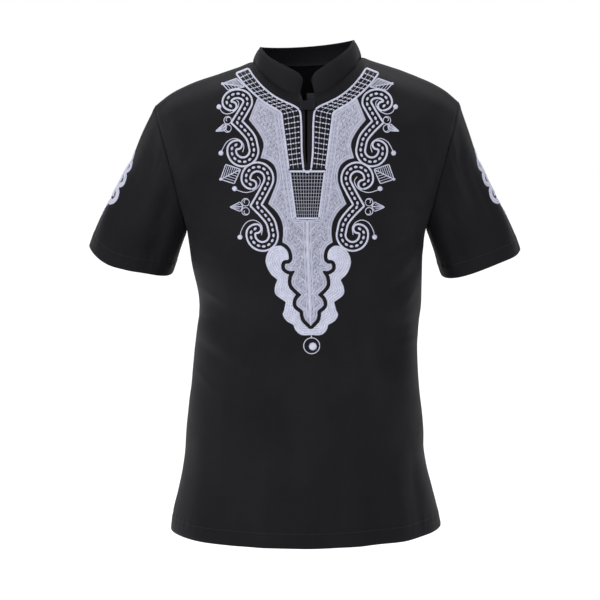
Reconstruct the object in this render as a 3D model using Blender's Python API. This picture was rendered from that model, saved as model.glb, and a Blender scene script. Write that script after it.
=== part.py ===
"""Short-sleeved dashiki shirt, hollow and in the shape it has when worn.

It is cut and sewn as the real one: a front with a neck slit, a back, two set-in sleeves, a stand collar
that is open at the front, and a small tab that holds the top of the slit together. Each is a wall of
cloth of its own. Walls that are sewn together meet edge to edge with a hair's gap.

Metres. The origin is the middle of the neck opening, level with the points where the shoulder seams
reach the collar. -Y is the front, +X is the wearer's left and +Z is up.
"""

import math
from collections import namedtuple

import bmesh
import bpy
from mathutils import Vector

# Driving dimensions
CLOTH = 0.0015
COLLAR_CLOTH = 0.0024
SEAM_GAP = 0.0003

NECK_HALF_WIDTH = 0.0825
NECK_FRONT_DEPTH = 0.077
NECK_FRONT_DROP = 0.0518
NECK_BACK_DEPTH = 0.062
NECK_BACK_DROP = 0.006
NECK_CROWN = 0.012
NECK_FRONT_CURVE = 1.9
NECK_BACK_CURVE = 1.5

SHOULDER_HALF_WIDTH = 0.2325
SHOULDER_ROUNDING = 0.075
SHOULDER_ARC = 0.165

SLEEVE_HEAD_PUFF = 0.0045
SLEEVE_PUFF_SHARE = 0.4
SLEEVE_WRAP_RADIUS = 0.062
SLEEVE_LENGTH = 0.22

UNDERARM_HEIGHT = -0.2610
UNDERARM_TILT = 0.0020
UNDERARM_DIP = 0.050
UNDERARM_REACH = 6

# How the armhole climbs and leans between the underarm and the shoulder tip
ARMHOLE_CLIMB = 1.25
ARMHOLE_LEAN = 1.15

HEM_HEIGHT = -0.7185
HEM_TILT = 0.0035
HEM_DROP = 0.0080

SLIT_FOOT = -0.1600
SLIT_REACH = 0.035

COLLAR_TOP_HALF_WIDTH = 0.0710
COLLAR_TOP_FRONT_DEPTH = 0.066
COLLAR_TOP_BACK_DEPTH = 0.056
COLLAR_TOP_FRONT = -0.0260
COLLAR_TOP_CLIMB = 0.0385
COLLAR_TOP_SIDE = 0.0233
COLLAR_TOP_BACK = 0.0200
COLLAR_TILT = 0.0053
COLLAR_END_HALF_GAP = 0.0058
COLLAR_CORNER = 0.0095
COLLAR_CREST_REACH = 8
COLLAR_BULGE = 0.0015

TAB_WIDTH = 0.024
TAB_HEIGHT = 0.0135
TAB_MIDDLE = -0.0725
TAB_THICKNESS = 0.0016
TAB_GAP = 0.0006

BODY_SQUARENESS = 2.35
CUFF_SQUARENESS = 2.5

# The oval whose directions the folds on the body rise in
FOLD_OVAL_WIDTH = 0.185
FOLD_OVAL_DEPTH = 0.14

# A fold's height at its ends, as a share of its height half way
FOLD_END_SHARE = 0.55

# Folds die away this near to a side seam, a top edge and an armhole: a share of the half width,
# a number of rows and a share of the sleeve
FOLD_SIDE_HOLD = 0.16
FOLD_TOP_HOLD = 4
SLEEVE_FOLD_START = 0.22

# How finely each piece is divided
SHOULDER_COLUMNS = 7
NECK_COLUMNS = 7
BODY_ROWS = 17
CHEST_ROWS = 14
SLEEVE_ROWS = 11
COLLAR_ROWS = 4
TAB_ROWS = 3
TAB_COLUMNS = 6
NECK_SHARE = 0.44
COLUMN_FAN = 0.6
COLUMN_FAN_CURVE = 4

# Where the chest's rows start to bend towards the neck seam, as a share of the way up
NECK_PULL_START = 0.3

# The least share of a seam's gap that a corner of seams keeps in any one direction
LEAST_CORNER = 0.35

# Columns on each side of the middle that the tab can lie on
TAB_REACH = 4

# The body of the shirt at heights from the hem up. Right and left are half widths on the wearer's
# sides, front and back are depths from the side seams. Above the underarm the widths are those
# that the cloth would have if it ran on past the armholes.
Girth = namedtuple("Girth", "z right left front back")
GIRTHS = (
    Girth(-0.745, 0.2120, 0.2120, 0.153, 0.149),
    Girth(-0.700, 0.2082, 0.2042, 0.150, 0.146),
    Girth(-0.655, 0.1975, 0.1925, 0.145, 0.142),
    Girth(-0.610, 0.1893, 0.1818, 0.141, 0.137),
    Girth(-0.560, 0.1857, 0.1796, 0.138, 0.131),
    Girth(-0.500, 0.1785, 0.1722, 0.134, 0.123),
    Girth(-0.430, 0.1712, 0.1697, 0.132, 0.117),
    Girth(-0.370, 0.1655, 0.1755, 0.135, 0.118),
    Girth(-0.310, 0.1770, 0.1765, 0.140, 0.125),
    Girth(-0.260, 0.1845, 0.1820, 0.141, 0.131),
    Girth(-0.200, 0.2080, 0.2070, 0.139, 0.136),
    Girth(-0.160, 0.2235, 0.2235, 0.131, 0.136),
    Girth(-0.120, 0.2335, 0.2335, 0.119, 0.131),
    Girth(-0.080, 0.2385, 0.2385, 0.098, 0.123),
    Girth(-0.043, 0.2425, 0.2425, 0.078, 0.114),
    Girth(0.030, 0.2450, 0.2450, 0.082, 0.103),
)

# The height of the shoulder line at distances from the middle, on the wearer's right and left.
Ridge = namedtuple("Ridge", "x right left")
RIDGES = (
    Ridge(NECK_HALF_WIDTH, -0.0052, 0.0018),
    Ridge(0.1050, -0.0131, -0.0055),
    Ridge(0.1250, -0.0196, -0.0117),
    Ridge(0.1450, -0.0262, -0.0184),
    Ridge(0.1650, -0.0332, -0.0262),
    Ridge(0.1850, -0.0415, -0.0345),
    Ridge(0.2000, -0.0490, -0.0420),
    Ridge(0.2150, -0.0585, -0.0515),
    Ridge(0.2250, -0.0658, -0.0600),
    Ridge(SHOULDER_HALF_WIDTH, -0.0725, -0.0670),
)

# Shares of the half neck seam at which the columns of the front and the back start.
FRONT_NECK = (0, 0.05, 0.12, 0.21, 0.33, 0.49, 0.70, 1)
BACK_NECK = (0, 0.13, 0.27, 0.41, 0.55, 0.69, 0.84, 1)

# The neck slit's half width at heights from the neck seam down.
Slit = namedtuple("Slit", "z half")
SLITS = (
    Slit(SLIT_FOOT, 0.0),
    Slit(-0.156, 0.0016),
    Slit(-0.148, 0.0026),
    Slit(-0.126, 0.0033),
    Slit(-0.080, 0.0035),
    Slit(-0.0735, 0.0040),
    Slit(-0.067, 0.0055),
    Slit(-0.0535, 0.0102),
    Slit(-0.020, 0.0102),
)

# Where each sleeve ends: the middle of the cuff, its half widths, and the slant of its opening. The
# flare is how much later than straight the outer line swings out.
Cuff = namedtuple("Cuff", "across back down half_width half_depth slant flare")
CUFFS = {
    -1: Cuff(0.2720, 0.030, -0.3055, 0.0675, 0.0600, math.radians(19), 0.05),
    1: Cuff(0.2688, 0.030, -0.3100, 0.0640, 0.0600, math.radians(19.5), 0.22),
}

# The largest folds as soft ridges (plus) and troughs (minus). On the body they run between two
# points seen from the front or the back, and on a sleeve between two points of the cloth laid out:
# across is the arc from the outer line towards the front, down is the share of the sleeve's length.
Fold = namedtuple("Fold", "x0 z0 x1 z1 width height")
FRONT_FOLDS = (
    Fold(-0.178, -0.215, -0.128, -0.165, 0.017, -0.0060),
    Fold(-0.182, -0.180, -0.140, -0.130, 0.016, 0.0045),
    Fold(0.180, -0.225, 0.130, -0.170, 0.017, -0.0060),
    Fold(0.186, -0.190, 0.150, -0.130, 0.016, 0.0040),
    Fold(-0.150, -0.365, -0.060, -0.425, 0.018, -0.0055),
    Fold(-0.160, -0.405, -0.085, -0.455, 0.018, 0.0045),
    Fold(0.088, -0.300, 0.128, -0.500, 0.018, -0.0060),
    Fold(0.060, -0.360, 0.092, -0.560, 0.020, 0.0050),
    Fold(0.145, -0.330, 0.150, -0.470, 0.017, 0.0045),
    Fold(0.095, -0.600, 0.105, -0.725, 0.020, -0.0065),
    Fold(0.130, -0.610, 0.142, -0.725, 0.018, 0.0055),
    Fold(0.010, -0.520, 0.005, -0.730, 0.028, 0.0050),
    Fold(-0.085, -0.570, -0.095, -0.725, 0.022, -0.0050),
    Fold(-0.150, -0.560, -0.165, -0.715, 0.020, 0.0045),
)
BACK_FOLDS = (
    Fold(-0.175, -0.215, -0.105, -0.140, 0.019, -0.0060),
    Fold(0.178, -0.215, 0.110, -0.145, 0.019, -0.0060),
    Fold(-0.140, -0.350, -0.030, -0.390, 0.019, -0.0055),
    Fold(0.140, -0.365, 0.020, -0.410, 0.019, -0.0055),
    Fold(-0.135, -0.395, 0.015, -0.440, 0.020, 0.0050),
    Fold(0.060, -0.430, 0.075, -0.720, 0.024, 0.0060),
    Fold(0.115, -0.500, 0.130, -0.715, 0.020, -0.0055),
    Fold(-0.055, -0.470, -0.070, -0.720, 0.024, -0.0060),
    Fold(-0.110, -0.520, -0.130, -0.715, 0.020, 0.0055),
    Fold(0.005, -0.080, 0.000, -0.230, 0.026, 0.0035),
)
SLEEVE_FOLDS = (
    Fold(0.050, 0.05, 0.075, 0.55, 0.016, -0.0050),
    Fold(0.085, 0.10, 0.100, 0.75, 0.016, 0.0045),
    Fold(0.015, 0.45, 0.060, 1.00, 0.017, 0.0040),
    Fold(-0.045, 0.10, -0.080, 0.65, 0.017, -0.0050),
    Fold(-0.085, 0.35, -0.060, 1.00, 0.017, 0.0040),
    Fold(-0.120, 0.30, -0.115, 1.00, 0.016, -0.0035),
    Fold(0.125, 0.40, 0.120, 1.00, 0.015, -0.0035),
)

COLOURS = {"cloth": (0.012, 0.012, 0.014), "collar": (0.014, 0.014, 0.016)}


def smooth(low, high, value):
    share = min(1.0, max(0.0, (value - low) / (high - low)))
    return share * share * (3 - 2 * share)


def row_at(rows, key):
    """A row of a table where its first column is key, on a smooth curve through the given rows."""
    key = min(max(key, rows[0][0]), rows[-1][0])
    high = next(i for i in range(1, len(rows)) if key <= rows[i][0])
    low = high - 1
    before, after = max(low - 1, 0), min(high + 1, len(rows) - 1)
    span = rows[high][0] - rows[low][0]
    share = (key - rows[low][0]) / span
    values = []
    for a, b, c, d in zip(rows[before], rows[low], rows[high], rows[after]):
        leave = (c - a) / (rows[high][0] - rows[before][0]) * span
        arrive = (d - b) / (rows[after][0] - rows[low][0]) * span
        values.append(
            b * (2 * share**3 - 3 * share**2 + 1)
            + leave * (share**3 - 2 * share**2 + share)
            + c * (3 * share**2 - 2 * share**3)
            + arrive * (share**3 - share**2)
        )
    return type(rows[0])(*values)


def fold_height(folds, x, z):
    """How far the folds lift the cloth at a point."""
    height = 0.0
    for fold in folds:
        along = (fold.x1 - fold.x0, fold.z1 - fold.z0)
        length = math.hypot(*along)
        share = ((x - fold.x0) * along[0] + (z - fold.z0) * along[1]) / length**2
        held = min(1.0, max(0.0, share))
        off = math.hypot(x - fold.x0 - held * along[0], z - fold.z0 - held * along[1])
        height += fold.height * math.exp(-((off / fold.width) ** 2)) * (
            FOLD_END_SHARE + (1 - FOLD_END_SHARE) * math.sin(math.pi * held)
        )
    return height


def ridge(x):
    """The height of the shoulder line, which runs on over the neck as a low crown."""
    row = row_at(RIDGES, abs(x))
    if abs(x) >= NECK_HALF_WIDTH:
        return row.left if x > 0 else row.right
    crown = NECK_CROWN * (1 - (x / NECK_HALF_WIDTH) ** 2) ** 2
    share = (1 + math.sin(math.pi / 2 * x / NECK_HALF_WIDTH)) / 2
    return row.right + (row.left - row.right) * share + crown


def shoulder_tip(side):
    return ridge(side * SHOULDER_HALF_WIDTH)


def body_point(turn, drop, facing):
    """A point of the body's cloth. turn is the angle from the middle to the side seam, drop the way
    down over the rounded shoulder line, and facing -1 for the front and 1 for the back."""
    side = 1 if turn > 0 else -1
    z = 0.0
    x = 0.0
    for _ in range(12):
        girth = row_at(GIRTHS, z)
        half_width = girth.left if side > 0 else girth.right
        x = side * half_width * abs(math.sin(turn)) ** (2 / BODY_SQUARENESS)
        z = ridge(x) - fall_of(drop)
    girth = row_at(GIRTHS, z)
    depth = (girth.front if facing < 0 else girth.back) * abs(math.cos(turn)) ** (2 / BODY_SQUARENESS)
    return Vector((x, facing * depth * math.sin(over_angle(drop)), z))


def over_angle(drop):
    """How far round the shoulder line's quarter ellipse the cloth has gone."""
    return math.pi / 2 * min(1.0, drop / SHOULDER_ARC)


def fall_of(drop):
    """The height lost after going drop over the shoulder line's rounding and down."""
    return SHOULDER_ROUNDING * (1 - math.cos(over_angle(drop))) + max(0.0, drop - SHOULDER_ARC)


def drop_of(fall):
    """The way over the shoulder line's rounding that loses this height."""
    if fall < SHOULDER_ROUNDING:
        return SHOULDER_ARC * 2 / math.pi * math.acos(1 - max(0.0, fall) / SHOULDER_ROUNDING)
    return fall - SHOULDER_ROUNDING + SHOULDER_ARC


def pattern_point(x, z):
    """Where a point seen from the front lies on the cut: (turn, drop)."""
    girth = row_at(GIRTHS, z)
    half_width = girth.left if x > 0 else girth.right
    turn = math.asin(min(1.0, abs(x) / half_width) ** (BODY_SQUARENESS / 2))
    return (math.copysign(turn, x), drop_of(ridge(x) - z))


def armhole_mark(side, rise):
    """The armhole on the cut, from the underarm at rise 0 to the shoulder tip at rise 1."""
    low = UNDERARM_HEIGHT + UNDERARM_TILT * side
    girth = row_at(GIRTHS, low)
    underarm = girth.left if side > 0 else girth.right
    share = rise**ARMHOLE_CLIMB
    z = low + (shoulder_tip(side) - low) * share
    x = underarm + (SHOULDER_HALF_WIDTH - underarm) * share**ARMHOLE_LEAN
    return pattern_point(side * x, z)


def neck_point(round_neck, facing):
    """The neck seam. round_neck goes from -1 at the right neck point to 1 at the left one."""
    angle = round_neck * math.pi / 2
    sine, cosine = math.sin(angle), math.cos(angle)
    x = NECK_HALF_WIDTH * sine
    level = RIDGES[0].right + (RIDGES[0].left - RIDGES[0].right) * (1 + sine) / 2
    if facing < 0:
        return Vector((x, -NECK_FRONT_DEPTH * cosine, level - NECK_FRONT_DROP * cosine**NECK_FRONT_CURVE))
    return Vector((x, NECK_BACK_DEPTH * cosine, level - NECK_BACK_DROP * cosine**NECK_BACK_CURVE))


def neck_mark(round_neck, facing):
    """The neck seam on the cut."""
    point = neck_point(round_neck, facing)
    turn = pattern_point(point.x, point.z)[0]
    girth = row_at(GIRTHS, point.z)
    depth = (girth.front if facing < 0 else girth.back) * abs(math.cos(turn)) ** (2 / BODY_SQUARENESS)
    return (turn, SHOULDER_ARC * 2 / math.pi * math.asin(min(1.0, abs(point.y) / depth)))


def top_mark(share, facing):
    """The top edge of the cut: shoulder seam, neck seam, shoulder seam."""
    side = 1 if share > 0 else -1
    if abs(share) <= NECK_SHARE:
        return neck_mark(share / NECK_SHARE, facing)
    along = (abs(share) - NECK_SHARE) / (1 - NECK_SHARE)
    x = NECK_HALF_WIDTH + (SHOULDER_HALF_WIDTH - NECK_HALF_WIDTH) * along
    return pattern_point(side * x, ridge(side * x))


def chest_mark(share):
    """The row of the cut that starts and ends at the underarms and dips between them."""
    turn = share * math.pi / 2
    z = UNDERARM_HEIGHT + UNDERARM_TILT * share - UNDERARM_DIP * (1 - abs(share) ** UNDERARM_REACH)
    girth = row_at(GIRTHS, z)
    half_width = girth.left if share > 0 else girth.right
    x = math.copysign(half_width * abs(math.sin(turn)) ** (2 / BODY_SQUARENESS), share)
    return (turn, drop_of(ridge(x) - z))


def slit_push(x, z, side):
    """How far the cloth is drawn aside at the neck slit."""
    if z < SLIT_FOOT:
        return 0.0
    half = row_at(SLITS, z).half
    return side * max(0.0, half) * math.exp(-((x / SLIT_REACH) ** 2))


def panel_columns(facing):
    """Shares across a panel from one side seam to the other, with a column on each neck point."""
    half = [NECK_SHARE * share for share in (FRONT_NECK if facing < 0 else BACK_NECK)]
    half += [NECK_SHARE + (1 - NECK_SHARE) * i / SHOULDER_COLUMNS for i in range(1, SHOULDER_COLUMNS + 1)]
    return [-share for share in reversed(half[1:])] + half


def body_row(share, row, facing):
    """A point of a panel's grid on the cut: hem to chest row, then chest row to top edge."""
    base = chest_mark(share)
    if row <= BODY_ROWS:
        hem = hem_mark(share)
        rise = row / BODY_ROWS
        return (hem[0] + (base[0] - hem[0]) * rise, hem[1] + (base[1] - hem[1]) * rise)
    rise = (row - BODY_ROWS) / CHEST_ROWS
    top = top_mark(share, facing)
    right, left = armhole_mark(-1, rise), armhole_mark(1, rise)
    across = (share + 1) / 2
    mark = []
    for k in (0, 1):
        bottom_to_top = base[k] * (1 - rise) + top[k] * rise
        sides = right[k] * (1 - across) + left[k] * across
        low = chest_mark(-1)[k] * (1 - across) + chest_mark(1)[k] * across
        high = top_mark(-1, facing)[k] * (1 - across) + top_mark(1, facing)[k] * across
        mark.append(bottom_to_top + sides - low * (1 - rise) - high * rise)
    neck = abs(share) / NECK_SHARE
    fan = neck**2 if neck < 1 else (1 - abs(share)) / (1 - NECK_SHARE)
    spread = math.copysign(COLUMN_FAN, share) * fan * (1 - rise) * rise**COLUMN_FAN_CURVE
    tips = top_mark(-1, facing)[0] + top_mark(1, facing)[0]
    middle = (right[0] + left[0] - tips * rise) / 2
    return (mark[0] + spread - (1 - share**2) * middle, mark[1])


def hem_mark(share):
    """The hem, which hangs lowest at the middle of the front and the back."""
    turn = share * math.pi / 2
    z = HEM_HEIGHT + HEM_TILT * share - HEM_DROP * math.cos(turn) ** 2
    girth = row_at(GIRTHS, z)
    half_width = girth.left if share > 0 else girth.right
    x = math.copysign(half_width * abs(math.sin(turn)) ** (2 / BODY_SQUARENESS), share)
    return (turn, drop_of(ridge(x) - z))


def panel_grid(facing):
    """The outer points of the front or the back, hem first. Columns run left to right as seen from
    outside. On the front the middle column is given twice, once for each side of the slit."""
    folds = FRONT_FOLDS if facing < 0 else BACK_FOLDS
    columns = panel_columns(facing)
    if facing > 0:
        columns = [-share for share in columns]
    sides = [math.copysign(1, share) for share in columns]
    if facing < 0:
        middle = columns.index(0)
        columns.insert(middle, 0)
        sides = [-1] * (middle + 1) + [1] * (len(columns) - middle - 1)
    top = BODY_ROWS + CHEST_ROWS
    grid = []
    for row in range(top + 1):
        line = []
        to_neck = smooth(BODY_ROWS + NECK_PULL_START * CHEST_ROWS, top, row)
        for share, side in zip(columns, sides):
            point = body_point(*body_row(share, row, facing), facing)
            if abs(share) <= NECK_SHARE:
                neck = body_point(*top_mark(share, facing), facing)
                point += (neck_point(share / NECK_SHARE, facing) - neck) * to_neck
            if facing < 0:
                point.x += slit_push(point.x, point.z, side)
            seam_hold = smooth(0, FOLD_SIDE_HOLD, 1 - abs(share)) * smooth(0, FOLD_TOP_HOLD, top - row)
            lift = fold_height(folds, point.x, point.z) * seam_hold
            outward = Vector((point.x / FOLD_OVAL_WIDTH, point.y / FOLD_OVAL_DEPTH, 0)).normalized()
            line.append(point + outward * lift)
        grid.append(line)
    return grid


def collar_grid(front, back):
    """The collar's outer points, from the neck seam up. It starts at the slit's left edge and runs
    round the back of the neck to its right edge, on the seam points of the front and the back."""
    middle = len(front[-1]) // 2
    neck_left = front[-1][middle : middle + NECK_COLUMNS + 1]
    neck_right = front[-1][middle - 1 - NECK_COLUMNS : middle]
    centre = len(back[-1]) // 2
    neck_back = back[-1][centre - NECK_COLUMNS : centre + NECK_COLUMNS + 1]
    seam = neck_left + neck_back[1:-1] + neck_right
    quarter = math.pi / 2
    turns = [quarter * share for share in FRONT_NECK]
    turns += [2 * quarter - quarter * share for share in BACK_NECK[-2::-1]]
    turns += [2 * quarter + quarter * share for share in BACK_NECK[1:-1]]
    turns += [4 * quarter - quarter * share for share in reversed(FRONT_NECK)]
    tops = [collar_top(turn, 1 if i < len(turns) / 2 else -1) for i, turn in enumerate(turns)]
    grid = []
    for row in range(COLLAR_ROWS + 1):
        rise = row / COLLAR_ROWS
        line = []
        for low, high in zip(seam, tops):
            point = low.lerp(high, rise)
            outward = Vector((point.x, point.y, 0)).normalized()
            line.append(point + outward * COLLAR_BULGE * math.sin(math.pi * rise))
        grid.append(line)
    return grid


def collar_top(turn, side):
    """The collar's top edge. turn is 0 at the front and goes round by the wearer's left. The front
    ends are rounded off."""
    sine, cosine = abs(math.sin(turn)), math.cos(turn)
    gap = COLLAR_END_HALF_GAP if cosine > 0 else 0
    x = gap + sine * (COLLAR_TOP_HALF_WIDTH - gap)
    if cosine > 0:
        y = -COLLAR_TOP_FRONT_DEPTH * cosine
        crest = COLLAR_TOP_SIDE - COLLAR_TOP_FRONT - COLLAR_TOP_CLIMB
        z = COLLAR_TOP_FRONT + COLLAR_TOP_CLIMB * sine + crest * sine**COLLAR_CREST_REACH
        corner = max(0.0, 1 - (x - gap) / COLLAR_CORNER)
        z -= COLLAR_CORNER * (1 - math.sqrt(1 - corner**2))
    else:
        y = -COLLAR_TOP_BACK_DEPTH * cosine
        z = COLLAR_TOP_SIDE + (COLLAR_TOP_BACK - COLLAR_TOP_SIDE) * cosine**2
    return Vector((side * x, y, z + COLLAR_TILT * side * x / COLLAR_TOP_HALF_WIDTH))


def sleeve_grid(side, front, back):
    """A sleeve's outer points from the cuff up to the armhole, whose points it takes from the front
    and the back. The columns form a ring that starts at the underarm."""
    edge = -1 if side > 0 else 0
    rising = [front[row][edge] for row in range(BODY_ROWS, BODY_ROWS + CHEST_ROWS + 1)]
    back_edge = 0 if side > 0 else -1
    falling = [back[row][back_edge] for row in range(BODY_ROWS + CHEST_ROWS - 1, BODY_ROWS, -1)]
    armhole = rising + falling
    if side < 0:
        armhole = [armhole[0]] + armhole[:0:-1]
    cuff = CUFFS[side]
    middle = Vector((side * cuff.across, cuff.back, cuff.down))
    across = Vector((side * math.cos(cuff.slant), 0, math.sin(cuff.slant)))
    shoulder_middle = sum(armhole, Vector()) / len(armhole)
    axis = (middle - shoulder_middle).normalized()
    axis = (axis - across * axis.dot(across)).normalized()
    forward = across.cross(axis) * side
    if forward.y > 0:
        forward = -forward
    turns = ring_turns(armhole, side)
    outline = []
    for turn in turns:
        sideways = math.copysign(abs(math.cos(turn)) ** (2 / CUFF_SQUARENESS), math.cos(turn))
        frontways = math.copysign(abs(math.sin(turn)) ** (2 / CUFF_SQUARENESS), math.sin(turn))
        outline.append(middle + across * cuff.half_width * sideways + forward * cuff.half_depth * frontways)
    grid = []
    for row in range(SLEEVE_ROWS + 1):
        down = 1 - row / SLEEVE_ROWS
        line = []
        for low, high, turn in zip(outline, armhole, turns):
            line.append(sleeve_point(high, low, axis, across, turn, down, cuff.flare))
        grid.append(line)
    return grid


def ring_turns(ring, side):
    """The angle round the cuff for each armhole point, by its share of the armhole's length:
    half a turn at the underarm, nought on the outer line, and growing towards the front."""
    lengths = [(ring[i] - ring[i - 1]).length for i in range(1, len(ring))]
    lengths.append((ring[0] - ring[-1]).length)
    whole = sum(lengths)
    turns, gone = [], 0.0
    for length in lengths:
        turns.append(side * (math.pi - 2 * math.pi * gone / whole))
        gone += length
    return turns


def sleeve_point(high, low, axis, across, turn, down, flare):
    """A point of the sleeve between an armhole point and a cuff point."""
    length = (low - high).length
    outer = max(0.0, math.cos(turn)) ** 2
    leave = (axis - across * flare * outer).normalized() * length
    arrive = axis * length
    point = (
        high * (2 * down**3 - 3 * down**2 + 1)
        + leave * (down**3 - 2 * down**2 + down)
        + low * (3 * down**2 - 2 * down**3)
        + arrive * (down**3 - down**2)
    )
    lift = fold_height_on_sleeve(wrapped(turn) * SLEEVE_WRAP_RADIUS, down) * smooth(0, SLEEVE_FOLD_START, down)
    lift += SLEEVE_HEAD_PUFF * outer * math.sin(math.pi * min(1.0, down / SLEEVE_PUFF_SHARE))
    outward = across * math.cos(turn) + Vector((0, -math.sin(turn), 0))
    return point + outward.normalized() * lift


def wrapped(turn):
    """The same angle between minus and plus half a turn."""
    return (turn + math.pi) % (2 * math.pi) - math.pi


def fold_height_on_sleeve(across, down):
    """Folds on a sleeve, whose table gives the way down as a share of its length."""
    stretched = [fold._replace(z0=fold.z0 * SLEEVE_LENGTH, z1=fold.z1 * SLEEVE_LENGTH) for fold in SLEEVE_FOLDS]
    return fold_height(stretched, across, down * SLEEVE_LENGTH)


def tab_grid(front):
    """The tab's outer points: the front's own points, moved out by the tab's thickness and a gap."""
    grid = []
    for row in range(TAB_ROWS + 1):
        z = TAB_MIDDLE + TAB_HEIGHT * (row / TAB_ROWS - 0.5)
        line = []
        for column in range(TAB_COLUMNS + 1):
            x = TAB_WIDTH * (column / TAB_COLUMNS - 0.5)
            point, outward = on_front(front, x, z)
            line.append(point + outward * (TAB_THICKNESS + TAB_GAP))
        grid.append(line)
    return grid


def on_front(front, x, z):
    """The point of the front's middle cells that is seen at x, z, with its direction outwards."""
    middle = len(front[0]) // 2
    for i in range(BODY_ROWS, len(front) - 1):
        for j in range(middle - TAB_REACH, middle + TAB_REACH - 1):
            a, b, c, d = front[i][j], front[i][j + 1], front[i + 1][j + 1], front[i + 1][j]
            for corners in ((a, b, c), (a, c, d)):
                shares = flat_shares(corners, x, z)
                if min(shares) >= -1e-6:
                    point = sum((corner * share for corner, share in zip(corners, shares)), Vector())
                    normal = (corners[1] - corners[0]).cross(corners[2] - corners[0])
                    return point, normal.normalized()
    raise ValueError(f"no cloth at {x}, {z}")


def flat_shares(corners, x, z):
    """The shares of a triangle's corners that make the point x, z in the front view."""
    a, b, c = corners
    area = (b.x - a.x) * (c.z - a.z) - (c.x - a.x) * (b.z - a.z)
    if abs(area) < 1e-12:
        return (-1, -1, -1)
    second = ((x - a.x) * (c.z - a.z) - (c.x - a.x) * (z - a.z)) / area
    third = ((b.x - a.x) * (z - a.z) - (x - a.x) * (b.z - a.z)) / area
    return (1 - second - third, second, third)


def match_seams(front, back):
    """Gives the back the front's own points along the side seams and the shoulder seams."""
    for row in [*range(BODY_ROWS + 1), BODY_ROWS + CHEST_ROWS]:
        back[row][0], back[row][-1] = front[row][-1].copy(), front[row][0].copy()
    for k in range(SHOULDER_COLUMNS + 1):
        back[-1][k], back[-1][-1 - k] = front[-1][-1 - k].copy(), front[-1][k].copy()


Piece = namedtuple("Piece", "name grid wall ring slit_row colour")
Seam = namedtuple("Seam", "points ring pieces")


def all_seams(front, back, collar, sleeves):
    """Every seam as a line of points, with the names of the pieces that are sewn together along it."""
    panels = ("front_panel", "back_panel")
    last = len(front[0]) - 1
    edge = SHOULDER_COLUMNS
    sides = range(BODY_ROWS + 1)
    return [
        Seam([front[row][0] for row in sides], False, panels),
        Seam([front[row][last] for row in sides], False, panels),
        Seam(back[-1][: edge + 1], False, panels),
        Seam(back[-1][-edge - 1 :], False, panels),
        Seam(sleeves[1][-1], True, (*panels, "sleeve_left")),
        Seam(sleeves[-1][-1], True, (*panels, "sleeve_right")),
        Seam(collar[0], False, (*panels, "collar")),
    ]


def mark_of(point):
    return tuple(round(value, 6) for value in point)


def seam_tangents(seams):
    """For each seam point, the direction of every seam through it and the pieces that it joins."""
    tangents = {}
    for seam in seams:
        points, count = seam.points, len(seam.points)
        for i, point in enumerate(points):
            ahead = points[(i + 1) % count] if seam.ring else points[min(i + 1, count - 1)]
            behind = points[(i - 1) % count] if seam.ring else points[max(i - 1, 0)]
            tangents.setdefault(mark_of(point), []).append(((ahead - behind).normalized(), seam.pieces))
    return tangents


def grid_normals(piece):
    """The outward direction of the cloth at each point of a piece."""
    grid, rows, columns = piece.grid, len(piece.grid), len(piece.grid[0])
    normals = []
    for i in range(rows):
        line = []
        for j in range(columns):
            left, right = j - 1, j + 1
            if piece.ring:
                left, right = left % columns, right % columns
            else:
                left, right = max(left, 0), min(right, columns - 1)
            if piece.slit_row is not None:
                middle = columns // 2
                left = middle if j == middle else left
                right = middle - 1 if j == middle - 1 else right
                if i < piece.slit_row and j in (middle - 1, middle):
                    left, right = middle - 2, middle + 1
            across = grid[i][right] - grid[i][left]
            along = grid[min(i + 1, rows - 1)][j] - grid[max(i - 1, 0)][j]
            line.append(across.cross(along).normalized())
        normals.append(line)
    return normals


def shared_normals(pieces, tangents):
    """One direction for each seam point. The two panels count as one piece where they meet."""
    panels, others = {}, {}
    for piece in pieces:
        totals = panels if piece.name.endswith("panel") else others
        for line, directions in zip(piece.grid, grid_normals(piece)):
            for point, direction in zip(line, directions):
                mark = mark_of(point)
                if mark in tangents:
                    totals[mark] = totals.get(mark, Vector()) + direction
    shared = {}
    for mark in tangents:
        total = panels.get(mark, Vector()).normalized() + others.get(mark, Vector()).normalized()
        shared[mark] = total.normalized()
    return shared


def into_piece(piece, i, j):
    """The direction from a point of a piece to the middle of the piece's cells round it."""
    grid, rows, columns = piece.grid, len(piece.grid), len(piece.grid[0])
    total, count = Vector(), 0
    for di in (-1, 0, 1):
        for dj in (-1, 0, 1):
            column = (j + dj) % columns if piece.ring else j + dj
            if 0 <= i + di < rows and 0 <= column < columns:
                total += grid[i + di][column] - grid[i][j]
                count += 1
    return total / count


def seamed(piece, shared, tangents):
    """The piece's points and directions with its seam edges drawn back by half of the seam gap."""
    points = [list(line) for line in piece.grid]
    normals = grid_normals(piece)
    for i, line in enumerate(piece.grid):
        for j, point in enumerate(line):
            mark = mark_of(point)
            if mark not in shared or (piece.name == "front_panel" and hidden_middle(piece, i, j)):
                continue
            normal = shared[mark]
            inward = into_piece(piece, i, j)
            ways = []
            for tangent, names in tangents[mark]:
                if piece.name in names:
                    way = tangent.cross(normal).normalized()
                    ways.append(way if way.dot(inward) > 0 else -way)
            if not ways:
                continue
            normals[i][j] = normal
            total = sum(ways, Vector()).normalized()
            least = max(LEAST_CORNER, min(total.dot(way) for way in ways))
            points[i][j] = point + total * (SEAM_GAP / 2 / least)
    return points, normals


def hidden_middle(piece, i, j):
    """True for the second copy of the front's middle column where the slit is closed."""
    return j == len(piece.grid[0]) // 2 and i < piece.slit_row


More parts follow.
